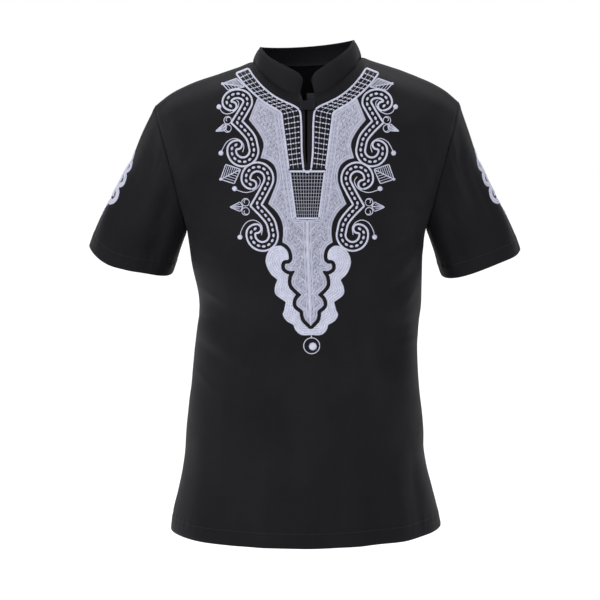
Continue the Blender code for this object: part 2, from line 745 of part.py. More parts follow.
def wall_object(piece, shared, tangents, collection):
    """Closes a piece into a wall: an outer face, an inner face, and a rim along every free edge."""
    points, normals = seamed(piece, shared, tangents)
    rows, columns = len(points), len(points[0])
    middle = columns // 2 if piece.slit_row is not None else None
    mesh = bmesh.new()
    outer, inner = {}, {}
    for i in range(rows):
        for j in range(columns):
            if middle is not None and j == middle and i < piece.slit_row:
                outer[i, j], inner[i, j] = outer[i, j - 1], inner[i, j - 1]
                continue
            outer[i, j] = mesh.verts.new(points[i][j])
            inner[i, j] = mesh.verts.new(points[i][j] - normals[i][j] * piece.wall)
    edges = {}
    for i in range(rows - 1):
        for j in range(columns if piece.ring else columns - 1):
            if middle is not None and j == middle - 1:
                continue
            right = (j + 1) % columns
            cell = [(i, j), (i, right), (i + 1, right), (i + 1, j)]
            lean = (points[i][j] - points[i + 1][right]).length - (points[i][right] - points[i + 1][j]).length
            if lean > 0:
                cell = cell[1:] + cell[:1]
            for corners in ((cell[0], cell[1], cell[2]), (cell[0], cell[2], cell[3])):
                mesh.faces.new([outer[key] for key in corners])
                mesh.faces.new([inner[key] for key in reversed(corners)])
            for a, b in zip(cell, cell[1:] + cell[:1]):
                ends = (outer[a], outer[b], inner[a], inner[b])
                marks = tuple(mark_of(piece.grid[row][column]) for row, column in (a, b))
                if edges.pop((outer[b], outer[a]), None) is None:
                    edges[outer[a], outer[b]] = (ends, marks)
    for (outer_a, outer_b, inner_a, inner_b), (first, second) in edges.values():
        if first < second:
            mesh.faces.new((outer_b, outer_a, inner_a))
            mesh.faces.new((outer_b, inner_a, inner_b))
        else:
            mesh.faces.new((outer_b, outer_a, inner_b))
            mesh.faces.new((outer_a, inner_a, inner_b))
    data = bpy.data.meshes.new(piece.name)
    mesh.to_mesh(data)
    mesh.free()
    data.shade_smooth()
    data.set_sharp_from_angle(angle=math.radians(50))
    obj = bpy.data.objects.new(piece.name, data)
    collection.objects.link(obj)
    data.materials.append(cloth_material(piece.colour))
    return obj


def cloth_material(name):
    material = bpy.data.materials.get(name)
    if material is None:
        material = bpy.data.materials.new(name)
        material.use_nodes = True
        shader = material.node_tree.nodes["Principled BSDF"]
        shader.inputs["Base Color"].default_value = (*COLOURS[name], 1)
        shader.inputs["Roughness"].default_value = 0.85
        shader.inputs["Metallic"].default_value = 0.0
    return material


def slit_row_of(front):
    """The first row whose points on the two sides of the slit lie apart."""
    middle = len(front[0]) // 2
    return next(i for i, line in enumerate(front) if (line[middle] - line[middle - 1]).length > 1e-5)


def cut_pieces():
    """Every piece of the shirt, as its outer points, and the seams between them."""
    front, back = panel_grid(-1), panel_grid(1)
    match_seams(front, back)
    collar = collar_grid(front, back)
    sleeves = {side: sleeve_grid(side, front, back) for side in (-1, 1)}
    pieces = [
        Piece("front_panel", front, CLOTH, False, slit_row_of(front), "cloth"),
        Piece("back_panel", back, CLOTH, False, None, "cloth"),
        Piece("sleeve_left", sleeves[1], CLOTH, True, None, "cloth"),
        Piece("sleeve_right", sleeves[-1], CLOTH, True, None, "cloth"),
        Piece("collar", collar, COLLAR_CLOTH, False, None, "collar"),
        Piece("neck_tab", tab_grid(front), TAB_THICKNESS, False, None, "collar"),
    ]
    return pieces, all_seams(front, back, collar, sleeves)


def main():
    for obj in list(bpy.data.objects):
        bpy.data.objects.remove(obj)
    collection = bpy.data.collections.new("dashiki_shirt")
    bpy.context.scene.collection.children.link(collection)
    pieces, seams = cut_pieces()
    tangents = seam_tangents(seams)
    shared = shared_normals(pieces, tangents)
    for piece in pieces:
        wall_object(piece, shared, tangents, collection)


main()
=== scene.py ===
"""Looks of a short-sleeved dashiki shirt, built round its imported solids.

The cloth is drawn again on the same form as the solids, finer, with its creases, hems and seams. The
embroidery is raised thread: satin lines, dots and filled grounds, charted in millimetres on the front
and on each sleeve. Everything is in metres, -Y is the front and +Z is up.
"""

import math
from collections import namedtuple

import bmesh
import bpy
import numpy as np
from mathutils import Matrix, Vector
from mathutils.bvhtree import BVHTree


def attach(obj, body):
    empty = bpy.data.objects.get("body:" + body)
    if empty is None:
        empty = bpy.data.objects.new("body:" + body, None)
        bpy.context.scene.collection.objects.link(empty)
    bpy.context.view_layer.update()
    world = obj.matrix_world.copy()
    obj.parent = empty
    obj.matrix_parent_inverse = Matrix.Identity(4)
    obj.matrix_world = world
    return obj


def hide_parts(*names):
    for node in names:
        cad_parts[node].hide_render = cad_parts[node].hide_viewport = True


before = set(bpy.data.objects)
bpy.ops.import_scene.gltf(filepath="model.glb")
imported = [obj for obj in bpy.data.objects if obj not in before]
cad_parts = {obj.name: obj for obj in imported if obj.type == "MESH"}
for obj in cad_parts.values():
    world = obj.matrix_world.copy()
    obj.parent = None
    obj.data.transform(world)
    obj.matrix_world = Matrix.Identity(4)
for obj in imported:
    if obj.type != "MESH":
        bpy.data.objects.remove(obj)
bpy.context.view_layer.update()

# The form of the solids: the same sizes and tables as in the part's source
CLOTH = 0.0015
COLLAR_CLOTH = 0.0024

NECK_HALF_WIDTH = 0.0825
NECK_FRONT_DEPTH = 0.077
NECK_FRONT_DROP = 0.0518
NECK_BACK_DEPTH = 0.062
NECK_BACK_DROP = 0.006
NECK_CROWN = 0.012
NECK_FRONT_CURVE = 1.9
NECK_BACK_CURVE = 1.5

SHOULDER_HALF_WIDTH = 0.2325
SHOULDER_ROUNDING = 0.075
SHOULDER_ARC = 0.165

SLEEVE_HEAD_PUFF = 0.0045
SLEEVE_PUFF_SHARE = 0.4
SLEEVE_WRAP_RADIUS = 0.062
SLEEVE_LENGTH = 0.22
SLEEVE_FOLD_START = 0.22

UNDERARM_HEIGHT = -0.2610
UNDERARM_TILT = 0.0020
UNDERARM_DIP = 0.050
UNDERARM_REACH = 6
ARMHOLE_CLIMB = 1.25
ARMHOLE_LEAN = 1.15

HEM_HEIGHT = -0.7185
HEM_TILT = 0.0035
HEM_DROP = 0.0080

SLIT_FOOT = -0.1600
SLIT_REACH = 0.035

COLLAR_TOP_HALF_WIDTH = 0.0710
COLLAR_TOP_FRONT_DEPTH = 0.066
COLLAR_TOP_BACK_DEPTH = 0.056
COLLAR_TOP_FRONT = -0.0260
COLLAR_TOP_CLIMB = 0.0385
COLLAR_TOP_SIDE = 0.0233
COLLAR_TOP_BACK = 0.0200
COLLAR_TILT = 0.0053
COLLAR_END_HALF_GAP = 0.0058
COLLAR_CORNER = 0.0095
COLLAR_CREST_REACH = 8
COLLAR_BULGE = 0.0015

TAB_WIDTH = 0.024
TAB_HEIGHT = 0.0135
TAB_MIDDLE = -0.0725
TAB_THICKNESS = 0.0016
TAB_GAP = 0.0006

BODY_SQUARENESS = 2.35
CUFF_SQUARENESS = 2.5
FOLD_OVAL_WIDTH = 0.185
FOLD_OVAL_DEPTH = 0.14
FOLD_END_SHARE = 0.55
FOLD_SIDE_HOLD = 0.16
FOLD_TOP_HOLD = 4

SHOULDER_COLUMNS = 7
NECK_COLUMNS = 7
BODY_ROWS = 17
CHEST_ROWS = 14
TOP_ROW = BODY_ROWS + CHEST_ROWS
NECK_SHARE = 0.44
COLUMN_FAN = 0.6
COLUMN_FAN_CURVE = 4
NECK_PULL_START = 0.3

# Fine steps in each of the solids' cells, and rows of the finer sleeves and collar
FINE = 5
SLEEVE_ROWS = 62
COLLAR_ROWS = 18

# Where the creases fade out, and how far each cuff hangs below its solid and where round it
CREASE_SIDE_HOLD = 0.04
SLEEVE_CREASE_START = 0.08
CUFF_SAG = {-1: 0.0065, 1: -0.0020}
CUFF_SAG_TURN = 1.3
CUFF_SAG_REACH = 0.45

Girth = namedtuple("Girth", "z right left front back")
GIRTHS = (
    Girth(-0.745, 0.2120, 0.2120, 0.153, 0.149),
    Girth(-0.700, 0.2082, 0.2042, 0.150, 0.146),
    Girth(-0.655, 0.1975, 0.1925, 0.145, 0.142),
    Girth(-0.610, 0.1893, 0.1818, 0.141, 0.137),
    Girth(-0.560, 0.1857, 0.1796, 0.138, 0.131),
    Girth(-0.500, 0.1785, 0.1722, 0.134, 0.123),
    Girth(-0.430, 0.1712, 0.1697, 0.132, 0.117),
    Girth(-0.370, 0.1655, 0.1755, 0.135, 0.118),
    Girth(-0.310, 0.1770, 0.1765, 0.140, 0.125),
    Girth(-0.260, 0.1845, 0.1820, 0.141, 0.131),
    Girth(-0.200, 0.2080, 0.2070, 0.139, 0.136),
    Girth(-0.160, 0.2235, 0.2235, 0.131, 0.136),
    Girth(-0.120, 0.2335, 0.2335, 0.119, 0.131),
    Girth(-0.080, 0.2385, 0.2385, 0.098, 0.123),
    Girth(-0.043, 0.2425, 0.2425, 0.078, 0.114),
    Girth(0.030, 0.2450, 0.2450, 0.082, 0.103),
)

Ridge = namedtuple("Ridge", "x right left")
RIDGES = (
    Ridge(NECK_HALF_WIDTH, -0.0052, 0.0018),
    Ridge(0.1050, -0.0131, -0.0055),
    Ridge(0.1250, -0.0196, -0.0117),
    Ridge(0.1450, -0.0262, -0.0184),
    Ridge(0.1650, -0.0332, -0.0262),
    Ridge(0.1850, -0.0415, -0.0345),
    Ridge(0.2000, -0.0490, -0.0420),
    Ridge(0.2150, -0.0585, -0.0515),
    Ridge(0.2250, -0.0658, -0.0600),
    Ridge(SHOULDER_HALF_WIDTH, -0.0725, -0.0670),
)

FRONT_NECK = (0, 0.05, 0.12, 0.21, 0.33, 0.49, 0.70, 1)
BACK_NECK = (0, 0.13, 0.27, 0.41, 0.55, 0.69, 0.84, 1)

Slit = namedtuple("Slit", "z half")
SLITS = (
    Slit(SLIT_FOOT, 0.0),
    Slit(-0.156, 0.0016),
    Slit(-0.148, 0.0026),
    Slit(-0.126, 0.0033),
    Slit(-0.080, 0.0035),
    Slit(-0.0735, 0.0040),
    Slit(-0.067, 0.0055),
    Slit(-0.0535, 0.0102),
    Slit(-0.020, 0.0102),
)

Cuff = namedtuple("Cuff", "across back down half_width half_depth slant flare")
CUFFS = {
    -1: Cuff(0.2720, 0.030, -0.3055, 0.0675, 0.0600, math.radians(19), 0.05),
    1: Cuff(0.2688, 0.030, -0.3100, 0.0640, 0.0600, math.radians(19.5), 0.22),
}

Fold = namedtuple("Fold", "x0 z0 x1 z1 width height")
FRONT_FOLDS = (
    Fold(-0.178, -0.215, -0.128, -0.165, 0.017, -0.0060),
    Fold(-0.182, -0.180, -0.140, -0.130, 0.016, 0.0045),
    Fold(0.180, -0.225, 0.130, -0.170, 0.017, -0.0060),
    Fold(0.186, -0.190, 0.150, -0.130, 0.016, 0.0040),
    Fold(-0.150, -0.365, -0.060, -0.425, 0.018, -0.0055),
    Fold(-0.160, -0.405, -0.085, -0.455, 0.018, 0.0045),
    Fold(0.088, -0.300, 0.128, -0.500, 0.018, -0.0060),
    Fold(0.060, -0.360, 0.092, -0.560, 0.020, 0.0050),
    Fold(0.145, -0.330, 0.150, -0.470, 0.017, 0.0045),
    Fold(0.095, -0.600, 0.105, -0.725, 0.020, -0.0065),
    Fold(0.130, -0.610, 0.142, -0.725, 0.018, 0.0055),
    Fold(0.010, -0.520, 0.005, -0.730, 0.028, 0.0050),
    Fold(-0.085, -0.570, -0.095, -0.725, 0.022, -0.0050),
    Fold(-0.150, -0.560, -0.165, -0.715, 0.020, 0.0045),
)
BACK_FOLDS = (
    Fold(-0.175, -0.215, -0.105, -0.140, 0.019, -0.0060),
    Fold(0.178, -0.215, 0.110, -0.145, 0.019, -0.0060),
    Fold(-0.140, -0.350, -0.030, -0.390, 0.019, -0.0055),
    Fold(0.140, -0.365, 0.020, -0.410, 0.019, -0.0055),
    Fold(-0.135, -0.395, 0.015, -0.440, 0.020, 0.0050),
    Fold(0.060, -0.430, 0.075, -0.720, 0.024, 0.0060),
    Fold(0.115, -0.500, 0.130, -0.715, 0.020, -0.0055),
    Fold(-0.055, -0.470, -0.070, -0.720, 0.024, -0.0060),
    Fold(-0.110, -0.520, -0.130, -0.715, 0.020, 0.0055),
    Fold(0.005, -0.080, 0.000, -0.230, 0.026, 0.0035),
)
SLEEVE_FOLDS = (
    Fold(0.050, 0.05, 0.075, 0.55, 0.016, -0.0050),
    Fold(0.085, 0.10, 0.100, 0.75, 0.016, 0.0045),
    Fold(0.015, 0.45, 0.060, 1.00, 0.017, 0.0040),
    Fold(-0.045, 0.10, -0.080, 0.65, 0.017, -0.0050),
    Fold(-0.085, 0.35, -0.060, 1.00, 0.017, 0.0040),
    Fold(-0.120, 0.30, -0.115, 1.00, 0.016, -0.0035),
    Fold(0.125, 0.40, 0.120, 1.00, 0.015, -0.0035),
)

# Finer creases that the solids don't have
FRONT_CREASES = (
    Fold(-0.186, -0.232, -0.150, -0.212, 0.0065, 0.0018),
    Fold(-0.190, -0.205, -0.158, -0.172, 0.0055, -0.0015),
    Fold(-0.176, -0.250, -0.120, -0.262, 0.0080, -0.0016),
    Fold(-0.172, -0.272, -0.128, -0.300, 0.0070, 0.0014),
    Fold(-0.198, -0.160, -0.178, -0.128, 0.0060, 0.0013),
    Fold(0.186, -0.238, 0.146, -0.222, 0.0060, 0.0017),
    Fold(0.190, -0.215, 0.166, -0.178, 0.0055, -0.0016),
    Fold(0.172, -0.262, 0.112, -0.292, 0.0090, -0.0021),
    Fold(0.170, -0.285, 0.120, -0.330, 0.0075, 0.0019),
    Fold(0.166, -0.312, 0.104, -0.372, 0.0080, -0.0018),
    Fold(0.163, -0.345, 0.132, -0.378, 0.0060, 0.0014),
    Fold(0.162, -0.392, 0.110, -0.412, 0.0070, -0.0016),
    Fold(0.164, -0.420, 0.128, -0.432, 0.0060, 0.0012),
    Fold(-0.160, -0.345, -0.118, -0.372, 0.0065, 0.0015),
    Fold(-0.163, -0.388, -0.128, -0.398, 0.0055, -0.0014),
    Fold(-0.164, -0.428, -0.100, -0.470, 0.0085, -0.0017),
    Fold(-0.168, -0.470, -0.135, -0.500, 0.0065, 0.0013),
    Fold(-0.120, -0.500, -0.128, -0.620, 0.0090, 0.0015),
    Fold(-0.060, -0.600, -0.066, -0.722, 0.0085, 0.0014),
    Fold(-0.118, -0.640, -0.124, -0.722, 0.0070, -0.0015),
    Fold(0.052, -0.560, 0.050, -0.722, 0.0095, -0.0016),
    Fold(0.078, -0.640, 0.082, -0.722, 0.0065, 0.0014),
    Fold(0.160, -0.600, 0.172, -0.716, 0.0075, -0.0016),
    Fold(0.118, -0.560, 0.122, -0.650, 0.0060, 0.0012),
    Fold(-0.030, -0.470, -0.022, -0.600, 0.0110, -0.0011),
    Fold(0.135, -0.110, 0.172, -0.086, 0.0080, 0.0012),
    Fold(-0.140, -0.112, -0.178, -0.090, 0.0080, 0.0012),
)
BACK_CREASES = (
    Fold(-0.184, -0.236, -0.140, -0.205, 0.0065, 0.0018),
    Fold(-0.178, -0.262, -0.115, -0.250, 0.0080, -0.0017),
    Fold(0.186, -0.240, 0.138, -0.212, 0.0060, 0.0018),
    Fold(0.176, -0.268, 0.108, -0.262, 0.0085, -0.0019),
    Fold(-0.165, -0.330, -0.090, -0.352, 0.0080, 0.0017),
    Fold(-0.160, -0.375, -0.075, -0.402, 0.0070, -0.0018),
    Fold(-0.162, -0.412, -0.060, -0.425, 0.0075, 0.0014),
    Fold(0.160, -0.345, 0.070, -0.372, 0.0080, 0.0018),
    Fold(0.158, -0.390, 0.052, -0.425, 0.0075, -0.0018),
    Fold(0.160, -0.430, 0.088, -0.452, 0.0065, 0.0013),
    Fold(0.028, -0.500, 0.030, -0.722, 0.0100, -0.0016),
    Fold(0.092, -0.560, 0.098, -0.722, 0.0080, 0.0015),
    Fold(0.155, -0.590, 0.168, -0.716, 0.0075, 0.0014),
    Fold(-0.028, -0.560, -0.034, -0.722, 0.0085, 0.0014),
    Fold(-0.088, -0.600, -0.096, -0.722, 0.0075, -0.0015),
    Fold(-0.152, -0.600, -0.166, -0.716, 0.0070, -0.0013),
    Fold(-0.070, -0.115, -0.110, -0.180, 0.0090, 0.0012),
    Fold(0.066, -0.110, 0.104, -0.172, 0.0090, 0.0012),
)
SLEEVE_CREASES = (
    Fold(0.070, 0.02, 0.078, 0.30, 0.0060, -0.0015),
    Fold(0.102, 0.06, 0.090, 0.42, 0.0065, 0.0015),
    Fold(0.040, 0.30, 0.062, 0.80, 0.0075, -0.0014),
    Fold(0.120, 0.15, 0.104, 0.62, 0.0060, -0.0015),
    Fold(0.000, 0.55, 0.028, 1.00, 0.0080, -0.0010),
    Fold(-0.062, 0.04, -0.070, 0.36, 0.0060, 0.0015),
    Fold(-0.098, 0.10, -0.088, 0.50, 0.0065, -0.0014),
    Fold(-0.050, 0.50, -0.042, 1.00, 0.0075, 0.0011),
    Fold(-0.122, 0.12, -0.104, 0.60, 0.0060, 0.0014),
)


def smooth(low, high, value):
    share = np.clip((value - low) / (high - low), 0.0, 1.0)
    return share * share * (3 - 2 * share)


def curve(start, end, leave, arrive, share):
    """The smooth curve between two values that leaves and arrives with the given slopes."""
    return (
        start * (2 * share**3 - 3 * share**2 + 1)
        + leave * (share**3 - 2 * share**2 + share)
        + end * (3 * share**2 - 2 * share**3)
        + arrive * (share**3 - share**2)
    )


def row_at(rows, key):
    """A row of a table where its first column is key, on a smooth curve through the given rows."""
    key = min(max(key, rows[0][0]), rows[-1][0])
    high = next(i for i in range(1, len(rows)) if key <= rows[i][0])
    low = high - 1
    before, after = max(low - 1, 0), min(high + 1, len(rows) - 1)
    span = rows[high][0] - rows[low][0]
    share = (key - rows[low][0]) / span
    values = []
    for a, b, c, d in zip(rows[before], rows[low], rows[high], rows[after]):
        leave = (c - a) / (rows[high][0] - rows[before][0]) * span
        arrive = (d - b) / (rows[after][0] - rows[low][0]) * span
        values.append(curve(b, c, leave, arrive, share))
    return type(rows[0])(*values)


def fold_height(folds, x, z):
    """How far the folds lift the cloth at each point of two arrays."""
    height = np.zeros_like(x)
    for fold in folds:
        along = (fold.x1 - fold.x0, fold.z1 - fold.z0)
        share = ((x - fold.x0) * along[0] + (z - fold.z0) * along[1]) / (along[0] ** 2 + along[1] ** 2)
        held = np.clip(share, 0.0, 1.0)
        off = np.hypot(x - fold.x0 - held * along[0], z - fold.z0 - held * along[1])
        swell = FOLD_END_SHARE + (1 - FOLD_END_SHARE) * np.sin(np.pi * held)
        height += fold.height * np.exp(-((off / fold.width) ** 2)) * swell
    return height


def ridge(x):
    """The height of the shoulder line, which runs on over the neck as a low crown."""
    row = row_at(RIDGES, abs(x))
    if abs(x) >= NECK_HALF_WIDTH:
        return row.left if x > 0 else row.right
    crown = NECK_CROWN * (1 - (x / NECK_HALF_WIDTH) ** 2) ** 2
    share = (1 + math.sin(math.pi / 2 * x / NECK_HALF_WIDTH)) / 2
    return row.right + (row.left - row.right) * share + crown


def over_angle(drop):
    return math.pi / 2 * min(1.0, drop / SHOULDER_ARC)


def fall_of(drop):
    return SHOULDER_ROUNDING * (1 - math.cos(over_angle(drop))) + max(0.0, drop - SHOULDER_ARC)


def drop_of(fall):
    if fall < SHOULDER_ROUNDING:
        return SHOULDER_ARC * 2 / math.pi * math.acos(1 - max(0.0, fall) / SHOULDER_ROUNDING)
    return fall - SHOULDER_ROUNDING + SHOULDER_ARC


def half_width_at(z, side):
    girth = row_at(GIRTHS, z)
    return girth.left if side > 0 else girth.right


def depth_at(z, turn, facing):
    girth = row_at(GIRTHS, z)
    depth = girth.front if facing < 0 else girth.back
    return depth * abs(math.cos(turn)) ** (2 / BODY_SQUARENESS)


def body_point(turn, drop, facing):
    """A point of the body's cloth. turn is the angle from the middle to the side seam, drop the way
    down over the rounded shoulder line, and facing -1 for the front and 1 for the back."""
    side = 1 if turn > 0 else -1
    x, z = 0.0, 0.0
    for _ in range(12):
        x = side * half_width_at(z, side) * abs(math.sin(turn)) ** (2 / BODY_SQUARENESS)
        z = ridge(x) - fall_of(drop)
    return Vector((x, facing * depth_at(z, turn, facing) * math.sin(over_angle(drop)), z))


def pattern_point(x, z):
    """Where a point seen from the front lies on the cut: (turn, drop)."""
    turn = math.asin(min(1.0, abs(x) / half_width_at(z, x)) ** (BODY_SQUARENESS / 2))
    return (math.copysign(turn, x), drop_of(ridge(x) - z))


def level_mark(share, z):
    """The mark on the cut that lies at height z, share of the way to a side seam."""
    turn = share * math.pi / 2
    x = math.copysign(half_width_at(z, share) * abs(math.sin(turn)) ** (2 / BODY_SQUARENESS), share)
    return (turn, drop_of(ridge(x) - z))


def armhole_mark(side, rise):
    low = UNDERARM_HEIGHT + UNDERARM_TILT * side
    underarm = half_width_at(low, side)
    share = rise**ARMHOLE_CLIMB
    z = low + (ridge(side * SHOULDER_HALF_WIDTH) - low) * share
    x = underarm + (SHOULDER_HALF_WIDTH - underarm) * share**ARMHOLE_LEAN
    return pattern_point(side * x, z)


def neck_point(round_neck, facing):
    """The neck seam. round_neck goes from -1 at the right neck point to 1 at the left one."""
    angle = round_neck * math.pi / 2
    sine, cosine = math.sin(angle), math.cos(angle)
    x = NECK_HALF_WIDTH * sine
    level = RIDGES[0].right + (RIDGES[0].left - RIDGES[0].right) * (1 + sine) / 2
    if facing < 0:
        return Vector((x, -NECK_FRONT_DEPTH * cosine, level - NECK_FRONT_DROP * cosine**NECK_FRONT_CURVE))
    return Vector((x, NECK_BACK_DEPTH * cosine, level - NECK_BACK_DROP * cosine**NECK_BACK_CURVE))


def top_mark(share, facing):
    """The top edge of the cut: shoulder seam, neck seam, shoulder seam."""
    if abs(share) <= NECK_SHARE:
        point = neck_point(share / NECK_SHARE, facing)
        turn = pattern_point(point.x, point.z)[0]
        reach = min(1.0, abs(point.y) / depth_at(point.z, turn, facing))
        return (turn, SHOULDER_ARC * 2 / math.pi * math.asin(reach))
    along = (abs(share) - NECK_SHARE) / (1 - NECK_SHARE)
    x = math.copysign(NECK_HALF_WIDTH + (SHOULDER_HALF_WIDTH - NECK_HALF_WIDTH) * along, share)
    return pattern_point(x, ridge(x))


def chest_mark(share):
    dip = UNDERARM_DIP * (1 - abs(share) ** UNDERARM_REACH)
    return level_mark(share, UNDERARM_HEIGHT + UNDERARM_TILT * share - dip)


def hem_mark(share):
    sag = HEM_DROP * math.cos(share * math.pi / 2) ** 2
    return level_mark(share, HEM_HEIGHT + HEM_TILT * share - sag)


def body_row(share, row, facing):
    """A point of a panel's grid on the cut: hem to chest row, then chest row to top edge."""
    base = chest_mark(share)
    if row <= BODY_ROWS:
        hem = hem_mark(share)
        rise = row / BODY_ROWS
        return (hem[0] + (base[0] - hem[0]) * rise, hem[1] + (base[1] - hem[1]) * rise)
    rise = (row - BODY_ROWS) / CHEST_ROWS
    top = top_mark(share, facing)
    right, left = armhole_mark(-1, rise), armhole_mark(1, rise)
    across = (share + 1) / 2
    mark = []
    for k in (0, 1):
        bottom_to_top = base[k] * (1 - rise) + top[k] * rise
        sides = right[k] * (1 - across) + left[k] * across
        low = chest_mark(-1)[k] * (1 - across) + chest_mark(1)[k] * across
        high = top_mark(-1, facing)[k] * (1 - across) + top_mark(1, facing)[k] * across
        mark.append(bottom_to_top + sides - low * (1 - rise) - high * rise)
    neck = abs(share) / NECK_SHARE
    fan = neck**2 if neck < 1 else (1 - abs(share)) / (1 - NECK_SHARE)
    spread = math.copysign(COLUMN_FAN, share) * fan * (1 - rise) * rise**COLUMN_FAN_CURVE
    tips = top_mark(-1, facing)[0] + top_mark(1, facing)[0]
    middle = (right[0] + left[0] - tips * rise) / 2
    return (mark[0] + spread - (1 - share**2) * middle, mark[1])


def finer(points, steps):
    """Points between the given ones along the first axis, on a smooth curve through them."""
    count = len(points)
    place = np.arange((count - 1) * steps + 1) / steps
    low = np.minimum(place.astype(int), count - 2)
    share = (place - low).reshape(-1, *[1] * (points.ndim - 1))
    slopes = np.gradient(points, axis=0)
    return curve(points[low], points[low + 1], slopes[low], slopes[low + 1], share)


def panel_shares(facing):
    half = [NECK_SHARE * share for share in (FRONT_NECK if facing < 0 else BACK_NECK)]
    half += [NECK_SHARE + (1 - NECK_SHARE) * i / SHOULDER_COLUMNS for i in range(1, SHOULDER_COLUMNS + 1)]
    return [-share for share in reversed(half[1:])] + half


def length_along(points, axis):
    """How far each point is along its line of the grid, in metres."""
    steps = np.linalg.norm(np.diff(points, axis=axis), axis=-1)
    return np.insert(np.cumsum(steps, axis=axis), 0, 0, axis=axis)


def outward_of(points, ring=False):
    """The outward direction at each point of a grid whose rows go up and columns left to right."""
    if ring:
        wrapped = np.concatenate([points[:, -2:-1], points, points[:, 1:2]], axis=1)
        across = np.gradient(wrapped, axis=1)[:, 1:-1]
    else:
        across = np.gradient(points, axis=1)
    normal = np.cross(across, np.gradient(points, axis=0))
    return normal / np.linalg.norm(normal, axis=-1, keepdims=True)


def panel_points(facing, creases):
    """The outer points of the front or the back, hem first. Columns run left to right as seen from
    outside."""
    folds = FRONT_FOLDS if facing < 0 else BACK_FOLDS
    shares = [share * -facing for share in panel_shares(facing)]
    coarse = []
    for row in range(TOP_ROW + 1):
        to_neck = smooth(BODY_ROWS + NECK_PULL_START * CHEST_ROWS, TOP_ROW, row)
        line = []
        for share in shares:
            point = body_point(*body_row(share, row, facing), facing)
            if abs(share) <= NECK_SHARE:
                neck = body_point(*top_mark(share, facing), facing)
                point += (neck_point(share / NECK_SHARE, facing) - neck) * to_neck
            line.append(point)
        coarse.append(line)
    points = finer(finer(np.array(coarse), FINE).swapaxes(0, 1), FINE).swapaxes(0, 1)
    share = np.broadcast_to(finer(np.array(shares, float), FINE), points.shape[:2])
    row = np.broadcast_to(np.linspace(0, TOP_ROW, len(points))[:, None], points.shape[:2])
    to_side = 1 - abs(share)
    across, up = points[..., 0], points[..., 2]
    hold = smooth(0, FOLD_SIDE_HOLD, to_side) * smooth(0, FOLD_TOP_HOLD, TOP_ROW - row)
    lift = fold_height(folds, across, up) * hold
    lift += fold_height(creases, across, up) * smooth(0, CREASE_SIDE_HOLD, to_side)
    oval = np.stack([across / FOLD_OVAL_WIDTH, points[..., 1] / FOLD_OVAL_DEPTH, 0 * share], axis=-1)
    return points + oval / np.linalg.norm(oval, axis=-1, keepdims=True) * lift[..., None]


def match_panels(front, back):
    """Gives the back the front's own points along the side seams and the shoulder seams."""
    sides, shoulder = BODY_ROWS * FINE + 1, SHOULDER_COLUMNS * FINE + 1
    back[:sides, 0], back[:sides, -1] = front[:sides, -1], front[:sides, 0]
    back[-1, :shoulder] = front[-1, ::-1][:shoulder]
    back[-1, -shoulder:] = front[-1, ::-1][-shoulder:]


def open_slit(half, side):
    """Draws one half of the front aside at the neck slit."""
    for line in half:
        for point in line:
            if point[2] > SLIT_FOOT and abs(point[0]) < 4 * SLIT_REACH:
                push = max(0.0, row_at(SLITS, point[2]).half)
                point[0] += side * push * math.exp(-((point[0] / SLIT_REACH) ** 2))


def collar_top(turn, side):
    """The collar's top edge. turn is 0 at the front and goes round by the wearer's left."""
    sine, cosine = abs(math.sin(turn)), math.cos(turn)
    gap = COLLAR_END_HALF_GAP if cosine > 0 else 0
    x = gap + sine * (COLLAR_TOP_HALF_WIDTH - gap)
    if cosine > 0:
        y = -COLLAR_TOP_FRONT_DEPTH * cosine
        crest = COLLAR_TOP_SIDE - COLLAR_TOP_FRONT - COLLAR_TOP_CLIMB
        z = COLLAR_TOP_FRONT + COLLAR_TOP_CLIMB * sine + crest * sine**COLLAR_CREST_REACH
        corner = max(0.0, 1 - (x - gap) / COLLAR_CORNER)
        z -= COLLAR_CORNER * (1 - math.sqrt(1 - corner**2))
    else:
        y = -COLLAR_TOP_BACK_DEPTH * cosine
        z = COLLAR_TOP_SIDE + (COLLAR_TOP_BACK - COLLAR_TOP_SIDE) * cosine**2
    return (side * x, y, z + COLLAR_TILT * side * x / COLLAR_TOP_HALF_WIDTH)


def collar_points(right_half, left_half, back):
    """The collar's outer points, from the neck seam up, from the slit's left edge round the back of
    the neck to its right edge."""
    reach = NECK_COLUMNS * FINE
    centre = back.shape[1] // 2
    neck_back = back[-1, centre - reach + 1 : centre + reach]
    seam = np.concatenate([left_half[-1, : reach + 1], neck_back, right_half[-1, -reach - 1 :]])
    front, behind = finer(np.array(FRONT_NECK, float), FINE), finer(np.array(BACK_NECK, float), FINE)
    quarter = math.pi / 2
    turns = np.concatenate(
        [
            quarter * front,
            quarter * (2 - behind[-2::-1]),
            quarter * (2 + behind[1:-1]),
            quarter * (4 - front[::-1]),
        ]
    )
    tops = np.array([collar_top(turn, 1 if i < len(turns) / 2 else -1) for i, turn in enumerate(turns)])
    rise = np.linspace(0, 1, COLLAR_ROWS + 1)[:, None, None]
    points = seam * (1 - rise) + tops * rise
    flat = points * (1, 1, 0)
    outward = flat / np.linalg.norm(flat, axis=-1, keepdims=True)
    return points + outward * COLLAR_BULGE * np.sin(np.pi * rise)


def on_sleeve(folds):
    """Folds whose way down was a share of the sleeve's length, in metres."""
    return [fold._replace(z0=fold.z0 * SLEEVE_LENGTH, z1=fold.z1 * SLEEVE_LENGTH) for fold in folds]


def rounded(turns):
    """How far across and to the front each turn round a squarish cuff lies, between -1 and 1."""
    power = 2 / CUFF_SQUARENESS
    return [np.sign(way) * abs(way) ** power for way in (np.cos(turns), np.sin(turns))]


